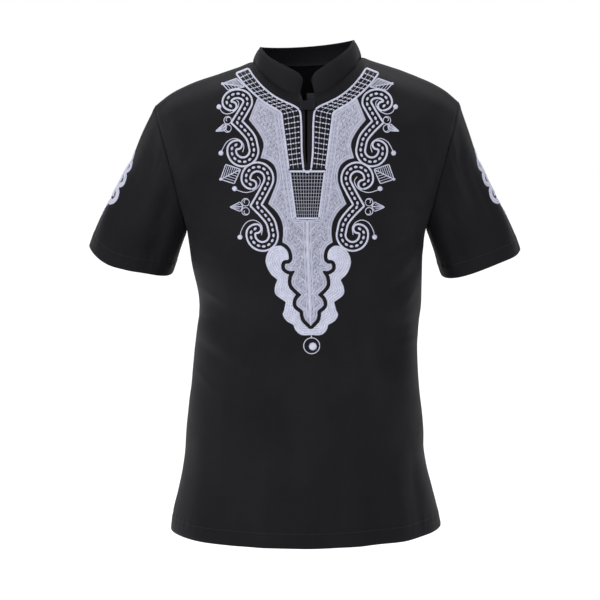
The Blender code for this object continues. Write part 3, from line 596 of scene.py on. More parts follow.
def sleeve_points(side, front, back):
    """A sleeve's outer points, from the cuff up to the armhole. The ring starts and ends at the
    underarm."""
    low_row = BODY_ROWS * FINE
    rising = front[low_row:, -1 if side > 0 else 0]
    falling = back[low_row:-1, 0 if side > 0 else -1][::-1]
    armhole = np.concatenate([rising, falling])
    if side < 0:
        armhole = armhole[::-1]
    cuff = CUFFS[side]
    middle = np.array((side * cuff.across, cuff.back, cuff.down))
    across = np.array((side * math.cos(cuff.slant), 0, math.sin(cuff.slant)))
    axis = middle - armhole[:-1].mean(axis=0)
    axis /= np.linalg.norm(axis)
    axis -= across * axis.dot(across)
    axis /= np.linalg.norm(axis)
    forward = np.cross(across, axis)
    forward *= -math.copysign(1, forward[1])
    gone = length_along(armhole, 0)
    turns = side * math.pi * (1 - 2 * gone / gone[-1])
    sideways, frontways = rounded(turns)
    outline = middle + sideways[:, None] * across * cuff.half_width
    outline = outline + frontways[:, None] * forward * cuff.half_depth
    outer = np.maximum(0, np.cos(turns)) ** 2
    length = np.linalg.norm(outline - armhole, axis=1)[:, None]
    leave = axis - across * (cuff.flare * outer)[:, None]
    leave *= length / np.linalg.norm(leave, axis=1, keepdims=True)
    outward = across * np.cos(turns)[:, None] + np.array((0, -1, 0)) * np.sin(turns)[:, None]
    outward /= np.linalg.norm(outward, axis=1, keepdims=True)
    around = ((turns + math.pi) % (2 * math.pi) - math.pi) * SLEEVE_WRAP_RADIUS
    sag = CUFF_SAG[side] * np.exp(-(((turns - CUFF_SAG_TURN) / CUFF_SAG_REACH) ** 2))
    folds, creases = on_sleeve(SLEEVE_FOLDS), on_sleeve(SLEEVE_CREASES)
    lines = []
    for down in np.linspace(1, 0, SLEEVE_ROWS + 1):
        line = curve(armhole, outline, leave, axis * length, down) + axis * (sag * down**3)[:, None]
        reach = np.full_like(around, down * SLEEVE_LENGTH)
        lift = fold_height(folds, around, reach) * smooth(0, SLEEVE_FOLD_START, down)
        lift += fold_height(creases, around, reach) * smooth(0, SLEEVE_CREASE_START, down)
        lift += SLEEVE_HEAD_PUFF * outer * math.sin(math.pi * min(1.0, down / SLEEVE_PUFF_SHARE))
        lines.append(line + outward * lift[:, None])
    return np.array(lines)


# Cloth

MERGE = 1e-6

SEAM_DIP = 0.0006
SEAM_REACH = 0.0022
SEAM_ALLOWANCE = 0.011
SEAM_ALLOWANCE_LIFT = 0.0003
WELT_FLAT_SHARE = 0.7

HEM_DEPTH = 0.022
HEM_EDGE = 0.001
HEM_LIFT = 0.00045
STITCH_DIP = 0.0005
STITCH_REACH = 0.0012
PUCKER_PITCH = 0.0135
PUCKER_HEIGHT = 0.0003
PUCKER_REACH = 0.009
PUCKER_DRIFT, PUCKER_DRIFT_CLOSENESS = 2.2, 37
PUCKER_RIPPLE, PUCKER_RIPPLE_CLOSENESS = 0.5, 271

# Soft unevenness, in layers: its height, how closely its waves follow each other, and where they start
Layer = namedtuple("Layer", "height closeness start")
PANEL_WAVES = (Layer(0.0005, 34, 2), Layer(0.0002, 95, 5))
SLEEVE_WAVES = (Layer(0.0005, 38, 9),)
COLLAR_WAVES = (Layer(0.0003, 60, 4),)

COLLAR_SEAM_DIP = 0.0005
COLLAR_SWELL = 0.0006
COLLAR_SWELL_REACH = 0.003
COLLAR_STITCH_INSET = 0.0045
COLLAR_TUCK_DOWN = 0.0030
COLLAR_TUCK_IN = 0.0010
COLLAR_EDGE = 0.0008
EDGE_ANGLE = math.radians(60)


def near(distance, reach):
    """1 on a line of the cloth, and falling softly to 0 beside it."""
    return np.exp(-((distance / reach) ** 2))


def seam_relief(distance):
    """A seam seen from outside: a narrow groove, and a low welt over the allowance behind it."""
    welt = 1 - smooth(WELT_FLAT_SHARE * SEAM_ALLOWANCE, SEAM_ALLOWANCE, distance)
    return SEAM_ALLOWANCE_LIFT * welt - SEAM_DIP * near(distance, SEAM_REACH)


def hem_relief(distance, along):
    """A turned-up hem: double cloth up to a line of stitches that puckers a little."""
    from_stitches = distance - HEM_DEPTH
    band = HEM_LIFT * (1 - smooth(-HEM_EDGE, HEM_EDGE, from_stitches))
    drift = PUCKER_DRIFT * np.sin(along * PUCKER_DRIFT_CLOSENESS)
    ripple = PUCKER_RIPPLE * np.sin(along * PUCKER_RIPPLE_CLOSENESS)
    wave = np.sin(2 * np.pi * along / PUCKER_PITCH + drift) + ripple
    pucker = PUCKER_HEIGHT * near(from_stitches, PUCKER_REACH) * wave
    return band - STITCH_DIP * near(from_stitches, STITCH_REACH) + pucker


def unevenness(points, layers, shift=0):
    """Soft unevenness that no part of the cloth is without: two crossing waves, bent by slower ones."""
    height = 0
    for layer in layers:
        x, y, z = (points[..., k] * layer.closeness + (layer.start + shift) * (k + 1) for k in range(3))
        wave = np.sin(x + 1.7 * np.sin(0.8 * z)) + np.sin(1.3 * z + 1.1 * np.sin(1.9 * x + y))
        height = height + layer.height * wave / 2
    return height


def cloth_uv(points):
    """How far across and how far up each point of a grid lies, measured along the cloth."""
    return np.stack([length_along(points, 1), length_along(points, 0)], axis=-1)


def spread(mesh, layer, uv):
    """Gives every corner of a mesh the UV place of its point."""
    mesh.verts.index_update()
    for face in mesh.faces:
        for loop in face.loops:
            loop[layer].uv = uv[loop.vert.index]


def grid_mesh(points, uv, ring=False):
    """A mesh of a grid of points, from Blender's own grid with each of its points moved."""
    rows, columns = points.shape[:2]
    mesh = bmesh.new()
    layer = mesh.loops.layers.uv.new("UVMap")
    made = bmesh.ops.create_grid(mesh, x_segments=columns - 1, y_segments=rows - 1, size=1)["verts"]
    for vert, point in zip(made, points.reshape(-1, 3)):
        vert.co = point
    spread(mesh, layer, uv.reshape(-1, 2))
    if ring:
        bmesh.ops.remove_doubles(mesh, verts=mesh.verts, dist=MERGE)
    return mesh


def join(whole, part):
    """Adds one mesh to another."""
    data = bpy.data.meshes.new("part")
    part.to_mesh(data)
    part.free()
    whole.from_mesh(data)
    bpy.data.meshes.remove(data)


def object_of(mesh, name, material, smooth_shade=True):
    data = bpy.data.meshes.new(name)
    mesh.normal_update()
    mesh.to_mesh(data)
    mesh.free()
    if smooth_shade:
        data.shade_smooth()
    obj = bpy.data.objects.new(name, data)
    bpy.context.scene.collection.objects.link(obj)
    data.materials.append(material)
    return obj


def thicken(obj, wall):
    modifier = obj.modifiers.new("wall", "SOLIDIFY")
    modifier.thickness = wall
    modifier.offset = -1
    modifier.use_even_offset = True
    modifier.thickness_clamp = 1.0


def turn_edge(obj, width):
    """Rounds the edges of a piece that is sewn inside out and turned."""
    modifier = obj.modifiers.new("turned_edge", "BEVEL")
    modifier.width = width
    modifier.segments = 2
    modifier.limit_method = "ANGLE"
    modifier.angle_limit = EDGE_ANGLE


def dress(obj, slot, *nodes):
    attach(obj, "root")
    if nodes:
        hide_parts(*nodes)
    return obj


def build_panel(points, facing, halves, name, node, material):
    """The front or the back, with its seams, hem and grain, and its outer points."""
    uv = cloth_uv(points)
    from_hem = uv[..., 1]
    from_top = from_hem[-1] - from_hem
    width = uv[:, -1:, 0]
    to_seam = np.minimum(np.minimum(uv[..., 0], width - uv[..., 0]), from_top)
    relief = seam_relief(to_seam) + hem_relief(from_hem, uv[..., 0])
    relief += unevenness(points, PANEL_WAVES, facing)
    uv[..., 0] -= width / 2
    shown = points + outward_of(points) * relief[..., None]
    whole = bmesh.new()
    for half, side in halves:
        if facing < 0:
            open_slit(shown[:, half], side)
        join(whole, grid_mesh(shown[:, half], uv[:, half]))
    bmesh.ops.remove_doubles(whole, verts=whole.verts, dist=MERGE)
    obj = object_of(whole, name, material)
    thicken(obj, CLOTH)
    return dress(obj, "cloth", node), shown


def build_sleeve(side, front, back, name, node, material):
    """A sleeve and its outer points."""
    points = sleeve_points(side, front, back)
    uv = cloth_uv(points)
    to_armhole = uv[-1:, :, 1] - uv[..., 1]
    to_underarm = np.minimum(uv[..., 0], uv[:, -1:, 0] - uv[..., 0])
    relief = seam_relief(to_armhole) + seam_relief(to_underarm) + hem_relief(uv[..., 1], uv[..., 0])
    relief += unevenness(points, SLEEVE_WAVES, side)
    relief[:, -1] = relief[:, 0]
    normals = outward_of(points, ring=True)
    normals[:, -1] = normals[:, 0]
    shown = points + normals * relief[..., None]
    obj = object_of(grid_mesh(shown, uv, ring=True), name, material)
    thicken(obj, CLOTH)
    return dress(obj, "cloth", node), shown


def build_collar(points, material):
    """The stand collar, tucked a little behind the neck seam, and its outer points."""
    uv = cloth_uv(points)
    up = uv[..., 1]
    to_end = np.minimum(uv[..., 0], uv[:, -1:, 0] - uv[..., 0])
    to_edge = np.minimum(up[-1:] - up, to_end)
    relief = COLLAR_SWELL * smooth(0, COLLAR_SWELL_REACH, to_edge)
    relief -= STITCH_DIP * near(to_edge - COLLAR_STITCH_INSET, STITCH_REACH)
    relief -= COLLAR_SEAM_DIP * near(up, SEAM_REACH)
    relief += unevenness(points, COLLAR_WAVES)
    outward = outward_of(points)
    shown = points + outward * relief[..., None]
    rise = points[1] - points[0]
    rise /= np.linalg.norm(rise, axis=1, keepdims=True)
    tucked = points[:1] - rise * COLLAR_TUCK_DOWN - outward[:1] * COLLAR_TUCK_IN
    shown = np.concatenate([tucked, shown])
    uv = np.concatenate([uv[:1] - (0, COLLAR_TUCK_DOWN), uv])
    obj = object_of(grid_mesh(shown, uv), "collar_cloth", material)
    thicken(obj, COLLAR_CLOTH)
    turn_edge(obj, COLLAR_EDGE)
    return dress(obj, "collar", "collar"), shown


# Materials

COTTON_DARK = (0.0022, 0.0022, 0.0032)
COTTON_LIGHT = (0.0062, 0.0062, 0.0080)
COTTON_WEAR = 0.16
COTTON_SHEEN = (0.75, 0.78, 0.85, 1)
WEAVE_RELIEF = 0.0002
SLUB_LENGTHS = ((900, 26, 1), (26, 900, 1))
SLUB_DETAIL = 2.0

# Scale and detail of the noise in each material, and how much each kind lightens the cotton
WORN_PATCHES = (9.0, 4.0)
LINT = (420.0, 3.0)
STRAND_WOBBLE = (700.0, 1.0)
THREAD_PATCHES = (130.0, 3.0)
PATCH_SHARE, SLUB_SHARE, LINT_SHARE = 0.7, 0.5, 0.25

THREAD_TONE = (0.452, 0.466, 0.572)
FILLING_TONE = (0.355, 0.365, 0.460)
# Painted shade: the dark bluish tone that filled grounds are darkened towards in the grooves between their
# raised rows
GROOVE_SHADE_TONE = (0.020, 0.022, 0.042)
THREAD_SHADE = (0.78, 0.78, 0.82)
THREAD_RELIEF = 0.00015
BLACK_THREAD = {"Base Color": (0.010, 0.010, 0.013, 1), "Roughness": 0.45, "Specular IOR Level": 0.3}

# The sockets of a colour mix
MIX_SHARE, MIX_FIRST, MIX_SECOND, MIX_RESULT = 0, 6, 7, 2


def nodes_of(name):
    material = bpy.data.materials.new(name)
    material.use_nodes = True
    tree = material.node_tree
    return material, tree, tree.nodes["Principled BSDF"]


def socket(group, name, kind, way, value=None):
    made = group.interface.new_socket(name=name, in_out=way, socket_type=kind)
    if value is not None:
        made.default_value = value


def plug(tree, node, inputs):
    """Sets a node's inputs, by name or number, to values or to other nodes' outputs."""
    for key, value in inputs.items():
        if isinstance(value, bpy.types.NodeSocket):
            tree.links.new(value, node.inputs[key])
        else:
            node.inputs[key].default_value = value


def add(tree, kind, inputs, **settings):
    """A node with its settings and its inputs."""
    node = tree.nodes.new(kind)
    for key, value in settings.items():
        setattr(node, key, value)
    plug(tree, node, inputs)
    return node


def arithmetic(tree, operation, first, second, third=0.0):
    return add(tree, "ShaderNodeMath", {0: first, 1: second, 2: third}, operation=operation).outputs[0]


def noise(tree, place, scale, detail):
    return add(tree, "ShaderNodeTexNoise", {"Vector": place, "Scale": scale, "Detail": detail}).outputs["Fac"]


def tones(tree, share, low, high):
    """A colour between two, each given with the share at which it is reached."""
    node = add(tree, "ShaderNodeValToRGB", {0: share})
    for i, (position, colour) in enumerate((low, high)):
        node.color_ramp.elements[i].position = position
        node.color_ramp.elements[i].color = (*colour, 1)
    return node.outputs[0]


def bumps(tree, height, strength, distance):
    given = {"Height": height, "Strength": strength, "Distance": distance}
    return add(tree, "ShaderNodeBump", given).outputs[0]


def weave_group():
    """Plain weave on the cloth's own UV: threads both ways, with thicker and thinner ones."""
    group = bpy.data.node_groups.new("plain_weave", "ShaderNodeTree")
    socket(group, "Place", "NodeSocketVector", "INPUT")
    socket(group, "Threads per metre", "NodeSocketFloat", "INPUT", 1900.0)
    socket(group, "Slub", "NodeSocketFloat", "INPUT", 0.5)
    socket(group, "Height", "NodeSocketFloat", "OUTPUT")
    socket(group, "Tone", "NodeSocketFloat", "OUTPUT")
    given = group.nodes.new("NodeGroupInput").outputs
    result = group.nodes.new("NodeGroupOutput")
    parts = add(group, "ShaderNodeSeparateXYZ", {0: given["Place"]})
    turns = arithmetic(group, "MULTIPLY", given["Threads per metre"], math.pi)
    threads = []
    for axis in (0, 1):
        angle = arithmetic(group, "MULTIPLY", parts.outputs[axis], turns)
        threads.append(arithmetic(group, "SINE", angle, 0.0))
    crossing = arithmetic(group, "MULTIPLY", *threads)
    slubs = []
    for stretch in SLUB_LENGTHS:
        place = add(group, "ShaderNodeVectorMath", {0: given["Place"], 1: stretch}, operation="MULTIPLY")
        slubs.append(noise(group, place.outputs[0], 1.0, SLUB_DETAIL))
    slub = arithmetic(group, "ADD", *slubs)
    uneven = arithmetic(group, "MULTIPLY", slub, given["Slub"])
    height = arithmetic(group, "ADD", crossing, uneven)
    plug(group, result, {"Height": height, "Tone": arithmetic(group, "MULTIPLY", slub, 0.5)})
    return group


def cotton(name, weave, threads, rough):
    """Black cotton, a little lighter where it is slubby and where it has rubbed."""
    material, tree, shader = nodes_of(name)
    place = add(tree, "ShaderNodeUVMap", {}, uv_map="UVMap").outputs[0]
    given = {"Place": place, "Threads per metre": threads}
    cloth = add(tree, "ShaderNodeGroup", given, node_tree=weave)
    where = add(tree, "ShaderNodeTexCoord", {}).outputs["Object"]
    patches, lint = noise(tree, where, *WORN_PATCHES), noise(tree, where, *LINT)
    mixed = arithmetic(tree, "MULTIPLY", patches, PATCH_SHARE)
    for lighter, share in ((cloth.outputs["Tone"], SLUB_SHARE), (lint, LINT_SHARE)):
        mixed = arithmetic(tree, "MULTIPLY_ADD", lighter, share, mixed)
    finish = {
        "Base Color": tones(tree, mixed, (0.45, COTTON_DARK), (0.95, COTTON_LIGHT)),
        "Roughness": arithmetic(tree, "MULTIPLY_ADD", patches, -COTTON_WEAR, rough + COTTON_WEAR / 2),
        "Normal": bumps(tree, cloth.outputs["Height"], 0.35, WEAVE_RELIEF),
        "Specular IOR Level": 0.095,
        "Sheen Weight": 0.015,
        "Sheen Roughness": 0.45,
        "Sheen Tint": COTTON_SHEEN,
    }
    plug(tree, shader, finish)
    return material


def thread(name, tone, pitch, across_rows):
    """Pale glossy thread: fine strands along the stitch, and painted shade in the grooves between the raised
    rows of a filling, mixed with the yoke's dark stipple pattern.
    """
    material, tree, shader = nodes_of(name)
    place = add(tree, "ShaderNodeUVMap", {}, uv_map="UVMap").outputs[0]
    parts = add(tree, "ShaderNodeSeparateXYZ", {0: place})
    turns = 2 * math.pi / pitch
    run = arithmetic(tree, "MULTIPLY", parts.outputs[0], turns)
    slant = arithmetic(tree, "MULTIPLY", parts.outputs[1], turns * across_rows)
    wobble = noise(tree, place, *STRAND_WOBBLE)
    angle = arithmetic(tree, "ADD", arithmetic(tree, "ADD", run, slant), wobble)
    strands = arithmetic(tree, "SINE", angle, 0.0)
    where = add(tree, "ShaderNodeTexCoord", {}).outputs["Object"]
    shaded = [part * share for part, share in zip(tone, THREAD_SHADE)]
    colour = tones(tree, noise(tree, where, *THREAD_PATCHES), (0.30, shaded), (0.70, tone))
    # The float each filled point keeps: painted shade in the grooves between rows, and in the yoke a dark
    # stipple pattern too
    groove_shade_and_stipple = add(tree, "ShaderNodeAttribute", {}, attribute_name="groove_shade_and_stipple").outputs["Fac"]
    dyed = {MIX_SHARE: groove_shade_and_stipple, MIX_FIRST: colour, MIX_SECOND: (*GROOVE_SHADE_TONE, 1)}
    mix = add(tree, "ShaderNodeMix", dyed, data_type="RGBA")
    finish = {
        "Base Color": mix.outputs[MIX_RESULT],
        "Normal": bumps(tree, strands, 0.4, THREAD_RELIEF),
        "Roughness": 0.42,
        "Specular IOR Level": 0.45,
        "Sheen Weight": 0.15,
        "Sheen Roughness": 0.3,
    }
    plug(tree, shader, finish)
    return material


def plain(name, finish):
    """A material of one colour and finish."""
    material, tree, shader = nodes_of(name)
    plug(tree, shader, finish)
    return material


# The photograph's view, lights and floor

VIEW_DISTANCE = 3.2
VIEW_AIM = Vector((-0.0108, 0.0, -0.3696))
VIEW_RISE = math.radians(5)
VIEW_WIDTH = 0.924
SENSOR = 36.0
CLIP_NEAR, CLIP_FAR = 0.05, 60

FLOOR_HEIGHT = -1.3
FLOOR_RADIUS = 30
FLOOR_FINISH = {
    "Base Color": (0.95, 0.95, 0.95, 1),
    "Roughness": 0.9,
    "Emission Color": (1, 1, 1, 1),
    "Emission Strength": 0.15,
}
WORLD_COLOUR = (1.0, 1.0, 1.0, 1)
WORLD_LIGHT = 1.0

Lamp = namedtuple("Lamp", "name place aim size watts colour")
LAMPS = (
    Lamp("key", (-2.2, -2.8, 1.5), (0, 0, -0.35), (1.6, 1.8), 74, (1.0, 0.99, 0.97)),
    Lamp("fill", (2.8, -1.8, 0.4), (0, 0, -0.35), (1.6, 1.6), 4, (0.94, 0.96, 1.0)),
    Lamp("top", (0.3, 1.2, 2.4), (0, 0, -0.2), (1.8, 1.2), 30, (1.0, 1.0, 1.0)),
)


def set_camera():
    data = bpy.data.cameras.new("camera")
    data.sensor_width = SENSOR
    data.lens = SENSOR * VIEW_DISTANCE / VIEW_WIDTH
    data.clip_start, data.clip_end = CLIP_NEAR, CLIP_FAR
    camera = bpy.data.objects.new("camera", data)
    bpy.context.scene.collection.objects.link(camera)
    back = Vector((0, -math.cos(VIEW_RISE), math.sin(VIEW_RISE)))
    camera.location = VIEW_AIM + back * VIEW_DISTANCE
    camera.rotation_euler = (math.pi / 2 - VIEW_RISE, 0, 0)
    bpy.context.scene.camera = camera


def hang(lamp):
    """One rectangular soft light."""
    data = bpy.data.lights.new(lamp.name, "AREA")
    data.shape = "RECTANGLE"
    data.size, data.size_y = lamp.size
    data.energy = lamp.watts
    data.color = lamp.colour
    light = bpy.data.objects.new(lamp.name, data)
    light.location = lamp.place
    light.rotation_euler = (Vector(lamp.aim) - Vector(lamp.place)).to_track_quat("-Z", "Y").to_euler()
    bpy.context.scene.collection.objects.link(light)


def set_stage():
    """A wide white floor below the shirt, pale surroundings, a large soft light from the viewer's
    left and weaker ones from the right and behind."""
    mesh = bmesh.new()
    bmesh.ops.create_circle(mesh, segments=96, radius=FLOOR_RADIUS, cap_ends=True)
    bmesh.ops.translate(mesh, verts=mesh.verts, vec=(0, 0, FLOOR_HEIGHT))
    floor = object_of(mesh, "floor", plain("white_floor", FLOOR_FINISH), smooth_shade=False)
    bpy.context.scene.view_settings.view_transform = "Standard"
    world = bpy.data.worlds.new("studio")
    world.use_nodes = True
    glow = {"Color": WORLD_COLOUR, "Strength": WORLD_LIGHT}
    plug(world.node_tree, world.node_tree.nodes["Background"], glow)
    bpy.context.scene.world = world
    for lamp in LAMPS:
        hang(lamp)


set_camera()
set_stage()
weave = weave_group()
black = cotton("black_cotton", weave, threads=1900.0, rough=0.66)
collar_black = cotton("collar_cotton", weave, threads=2100.0, rough=0.62)

front_grid = panel_points(-1, FRONT_CREASES)
back_grid = panel_points(1, BACK_CREASES)
match_panels(front_grid, back_grid)
middle = front_grid.shape[1] // 2
right_side, left_side = slice(0, middle + 1), slice(middle, None)
collar_halves = [front_grid[:, right_side].copy(), front_grid[:, left_side].copy()]
open_slit(collar_halves[0][-1:], -1)
open_slit(collar_halves[1][-1:], 1)
collar_grid = collar_points(*collar_halves, back_grid)
front, front_shown = build_panel(
    front_grid, -1, ((right_side, -1), (left_side, 1)), "front_cloth", "front_panel", black
)
back, back_shown = build_panel(back_grid, 1, ((slice(None), 1),), "back_cloth", "back_panel", black)
sleeves = {}
for side, word in ((-1, "right"), (1, "left")):
    sleeves[side] = build_sleeve(side, front_grid, back_grid, f"sleeve_{word}_cloth", f"sleeve_{word}", black)
collar, collar_shown = build_collar(collar_grid, collar_black)


# Embroidery: laid out flat, in millimetres from the centre line and down from the neck, then
# set on the cloth.

CHART_STEP = 0.001
CHART_MARGIN = 0.001
FRONT_CHART_LOW, FRONT_CHART_HIGH = (-0.160, -0.450), (0.1601, -0.004)
FRONT_DEEPEST = 0.02
SLEEVE_CHART_HALF_WIDTH = 0.045
SLEEVE_CHART_TOP = -0.002

ARTWORK_LEAN = 0.04
ARTWORK_LEAN_START = -265

LINE_STEP = 1.3
LINE_SHAPE = ((-1.0, -0.15), (-0.6, 0.75), (0.0, 1.0), (0.6, 0.75), (1.0, -0.15))
LINE_TIP = 0.06
LINE_TUCK = 0.05
BEND_STEPS = 12
MITRE_LIMIT = 1.45

FILL_CELL = 0.85
FILL_TRIM = 0.75
FILL_KEEP = 0.5
FILL_SLOPE = 0.8
FILL_TUCK = 0.12
NUDGE = 0.05
BATCH = 20000
ROW_DEPTH = 0.55
ROW_RIDGE = 0.55
# Where across each row the painted shade of the groove beside it begins
ROW_GROOVE_SHADE_FROM = 0.72


def along_line(places, gone, line):
    """The points of a line at the given places, where gone is the way to each of its own points."""
    return np.stack([np.interp(places, gone, line[:, k]) for k in range(line.shape[1])], axis=-1)


class Chart:
    """A stretch of cloth laid out flat: its points and outward directions on an even grid."""

    def __init__(self, low, points):
        self.low, self.points = np.array(low), points
        normal = np.cross(np.gradient(points, axis=1), np.gradient(points, axis=0))
        self.normals = normal / np.linalg.norm(normal, axis=-1, keepdims=True)

    def place(self, flat, lift):
        """Flat places in millimetres, set on the cloth and lifted off it by some millimetres."""
        rows, columns = self.points.shape[:2]
        spot = (flat / 1000 - self.low) / CHART_STEP
        column = np.clip(spot[..., 0], 0, columns - 1 - CHART_MARGIN)
        row = np.clip(spot[..., 1], 0, rows - 1 - CHART_MARGIN)
        i, j = row.astype(int), column.astype(int)
        down, over = (row - i)[..., None], (column - j)[..., None]

        def between(grid):
            low = grid[i, j] * (1 - over) + grid[i, j + 1] * over
            high = grid[i + 1, j] * (1 - over) + grid[i + 1, j + 1] * over
            return low * (1 - down) + high * down

        return between(self.points) + between(self.normals) * (lift / 1000)[..., None]


def front_chart(cloth):
    """The front as seen straight on, with the slit bridged."""
    tree = BVHTree.FromPolygons(
        [vert.co for vert in cloth.data.vertices], [tuple(face.vertices) for face in cloth.data.polygons]
    )
    across, up = (np.arange(FRONT_CHART_LOW[k], FRONT_CHART_HIGH[k], CHART_STEP) for k in (0, 1))
    points = np.empty((len(up), len(across), 3))
    for i, z in enumerate(up):
        depths = np.full(len(across), np.nan)
        for j, x in enumerate(across):
            hit = tree.ray_cast(Vector((x, -1, z)), Vector((0, 1, 0)))[0]
            if hit is not None and hit.y < FRONT_DEEPEST:
                depths[j] = hit.y
        known = np.isfinite(depths)
        points[i, :, 0], points[i, :, 2] = across, z
        points[i, :, 1] = np.interp(across, across[known], depths[known])
    return Chart((across[0], up[0]), points)


def sleeve_chart(points):
    """A sleeve's outer side, measured round from its top line and down from the armhole."""
    half = SLEEVE_CHART_HALF_WIDTH
    middle = points.shape[1] // 2
    around = length_along(points, 1)
    around -= around[:, middle : middle + 1]
    along = length_along(points[:, middle : middle + 1], 0)[:, 0]
    along -= along[-1]
    across = np.arange(-half, half + CHART_STEP / 2, CHART_STEP)
    rows = np.array([along_line(across, around[i], row) for i, row in enumerate(points)])
    up = np.arange(along[0], SLEEVE_CHART_TOP, CHART_STEP)
    columns = [along_line(up, along, rows[:, j]) for j in range(len(across))]
    return Chart((across[0], up[0]), np.stack(columns, axis=1))


def evenly(points, step):
    """The same line with its points a step apart."""
    points = np.asarray(points, float)
    gone = length_along(points, 0)
    count = max(2, round(gone[-1] / step) + 1)
    return along_line(np.linspace(0, gone[-1], count), gone, points)


def bend(points, sharp=()):
    """A line curving through its points, with a corner at each one that is named sharp."""
    points = np.asarray(points, float)
    ends = [0, *sharp, len(points) - 1]
    share = np.linspace(0, 1, BEND_STEPS + 1)[1:, None]
    parts = []
    for first, last in zip(ends, ends[1:]):
        run = points[first : last + 1]
        if len(run) > 2:
            slope = np.gradient(run, axis=0)
            pieces = [run[:1]]
            for i in range(len(run) - 1):
                pieces.append(curve(run[i], run[i + 1], slope[i], slope[i + 1], share))
            run = np.concatenate(pieces)
        run = evenly(run, LINE_STEP)
        parts.append(run if not parts else run[1:])
    return np.concatenate(parts)


def right_of(ahead):
    """The direction to the right of each direction along a line."""
    return np.stack([ahead[:, 1], -ahead[:, 0]], axis=1)


def beside(line, distance):
    """The line moved to its right by a distance, mitred at corners."""
    steps = np.diff(line, axis=0)
    right = right_of(steps / np.linalg.norm(steps, axis=1, keepdims=True))
    right = np.concatenate([right[:1], right[:-1] + right[1:], right[-1:]])
    length = np.linalg.norm(right, axis=1, keepdims=True)
    mitre = np.minimum(MITRE_LIMIT, 2 / np.maximum(length, 0.1))
    mitre[0] = mitre[-1] = 1
    return line + right / length * mitre * distance


def round_path(middle, radii, angles):
    """The points round a middle at the given angles and radii."""
    return np.stack([middle[0] + radii * np.cos(angles), middle[1] + radii * np.sin(angles)], axis=1)


def arc(middle, radius, start, end, step=LINE_STEP):
    count = max(4, int(abs(end - start) * radius / step) + 1)
    return round_path(middle, radius, np.linspace(start, end, count))


def circle(middle, radius, step=LINE_STEP):
    return arc(middle, radius, 0, 2 * math.pi, step)


def lean_at(up):
    """How far the artwork's centre line leans to the wearer's left at a height."""
    return ARTWORK_LEAN * np.maximum(0, ARTWORK_LEAN_START - up)


def mirrored(line, side):
    """The line on one side of the centre, which leans a little towards the foot."""
    line = np.asarray(line, float)
    return np.stack([side * line[..., 0] + lean_at(line[..., 1]), line[..., 1]], axis=-1)


def folded(places):
    """Places folded over the centre onto one half, as they were before the artwork's lean."""
    return np.stack([abs(places[:, 0] - lean_at(places[:, 1])), places[:, 1]], axis=1)


def ball_mesh():
    """The ball that every knot and machine stitch is stretched from."""
    mesh = bmesh.new()
    mesh.loops.layers.uv.new("UVMap")
    bmesh.ops.create_uvsphere(mesh, u_segments=8, v_segments=4, radius=1)
    data = bpy.data.meshes.new("ball")
    mesh.to_mesh(data)
    mesh.free()
    return data


BALL_MESH = ball_mesh()
BALL = np.array([vert.co for vert in BALL_MESH.vertices])


def many_balls(points, spots):
    """One mesh of many balls, each with its own points and its own places on the thread."""
    mesh = bmesh.new()
    mesh.from_mesh(BALL_MESH)
    wanted = len(points) * len(BALL)
    while len(mesh.verts) < wanted:
        join(mesh, mesh.copy())
    mesh.verts.ensure_lookup_table()
    bmesh.ops.delete(mesh, geom=mesh.verts[wanted:], context="VERTS")
    for vert, point in zip(mesh.verts, points.reshape(-1, 3)):
        vert.co = point
    spread(mesh, mesh.loops.layers.uv["UVMap"], spots.reshape(-1, 2))
    return mesh


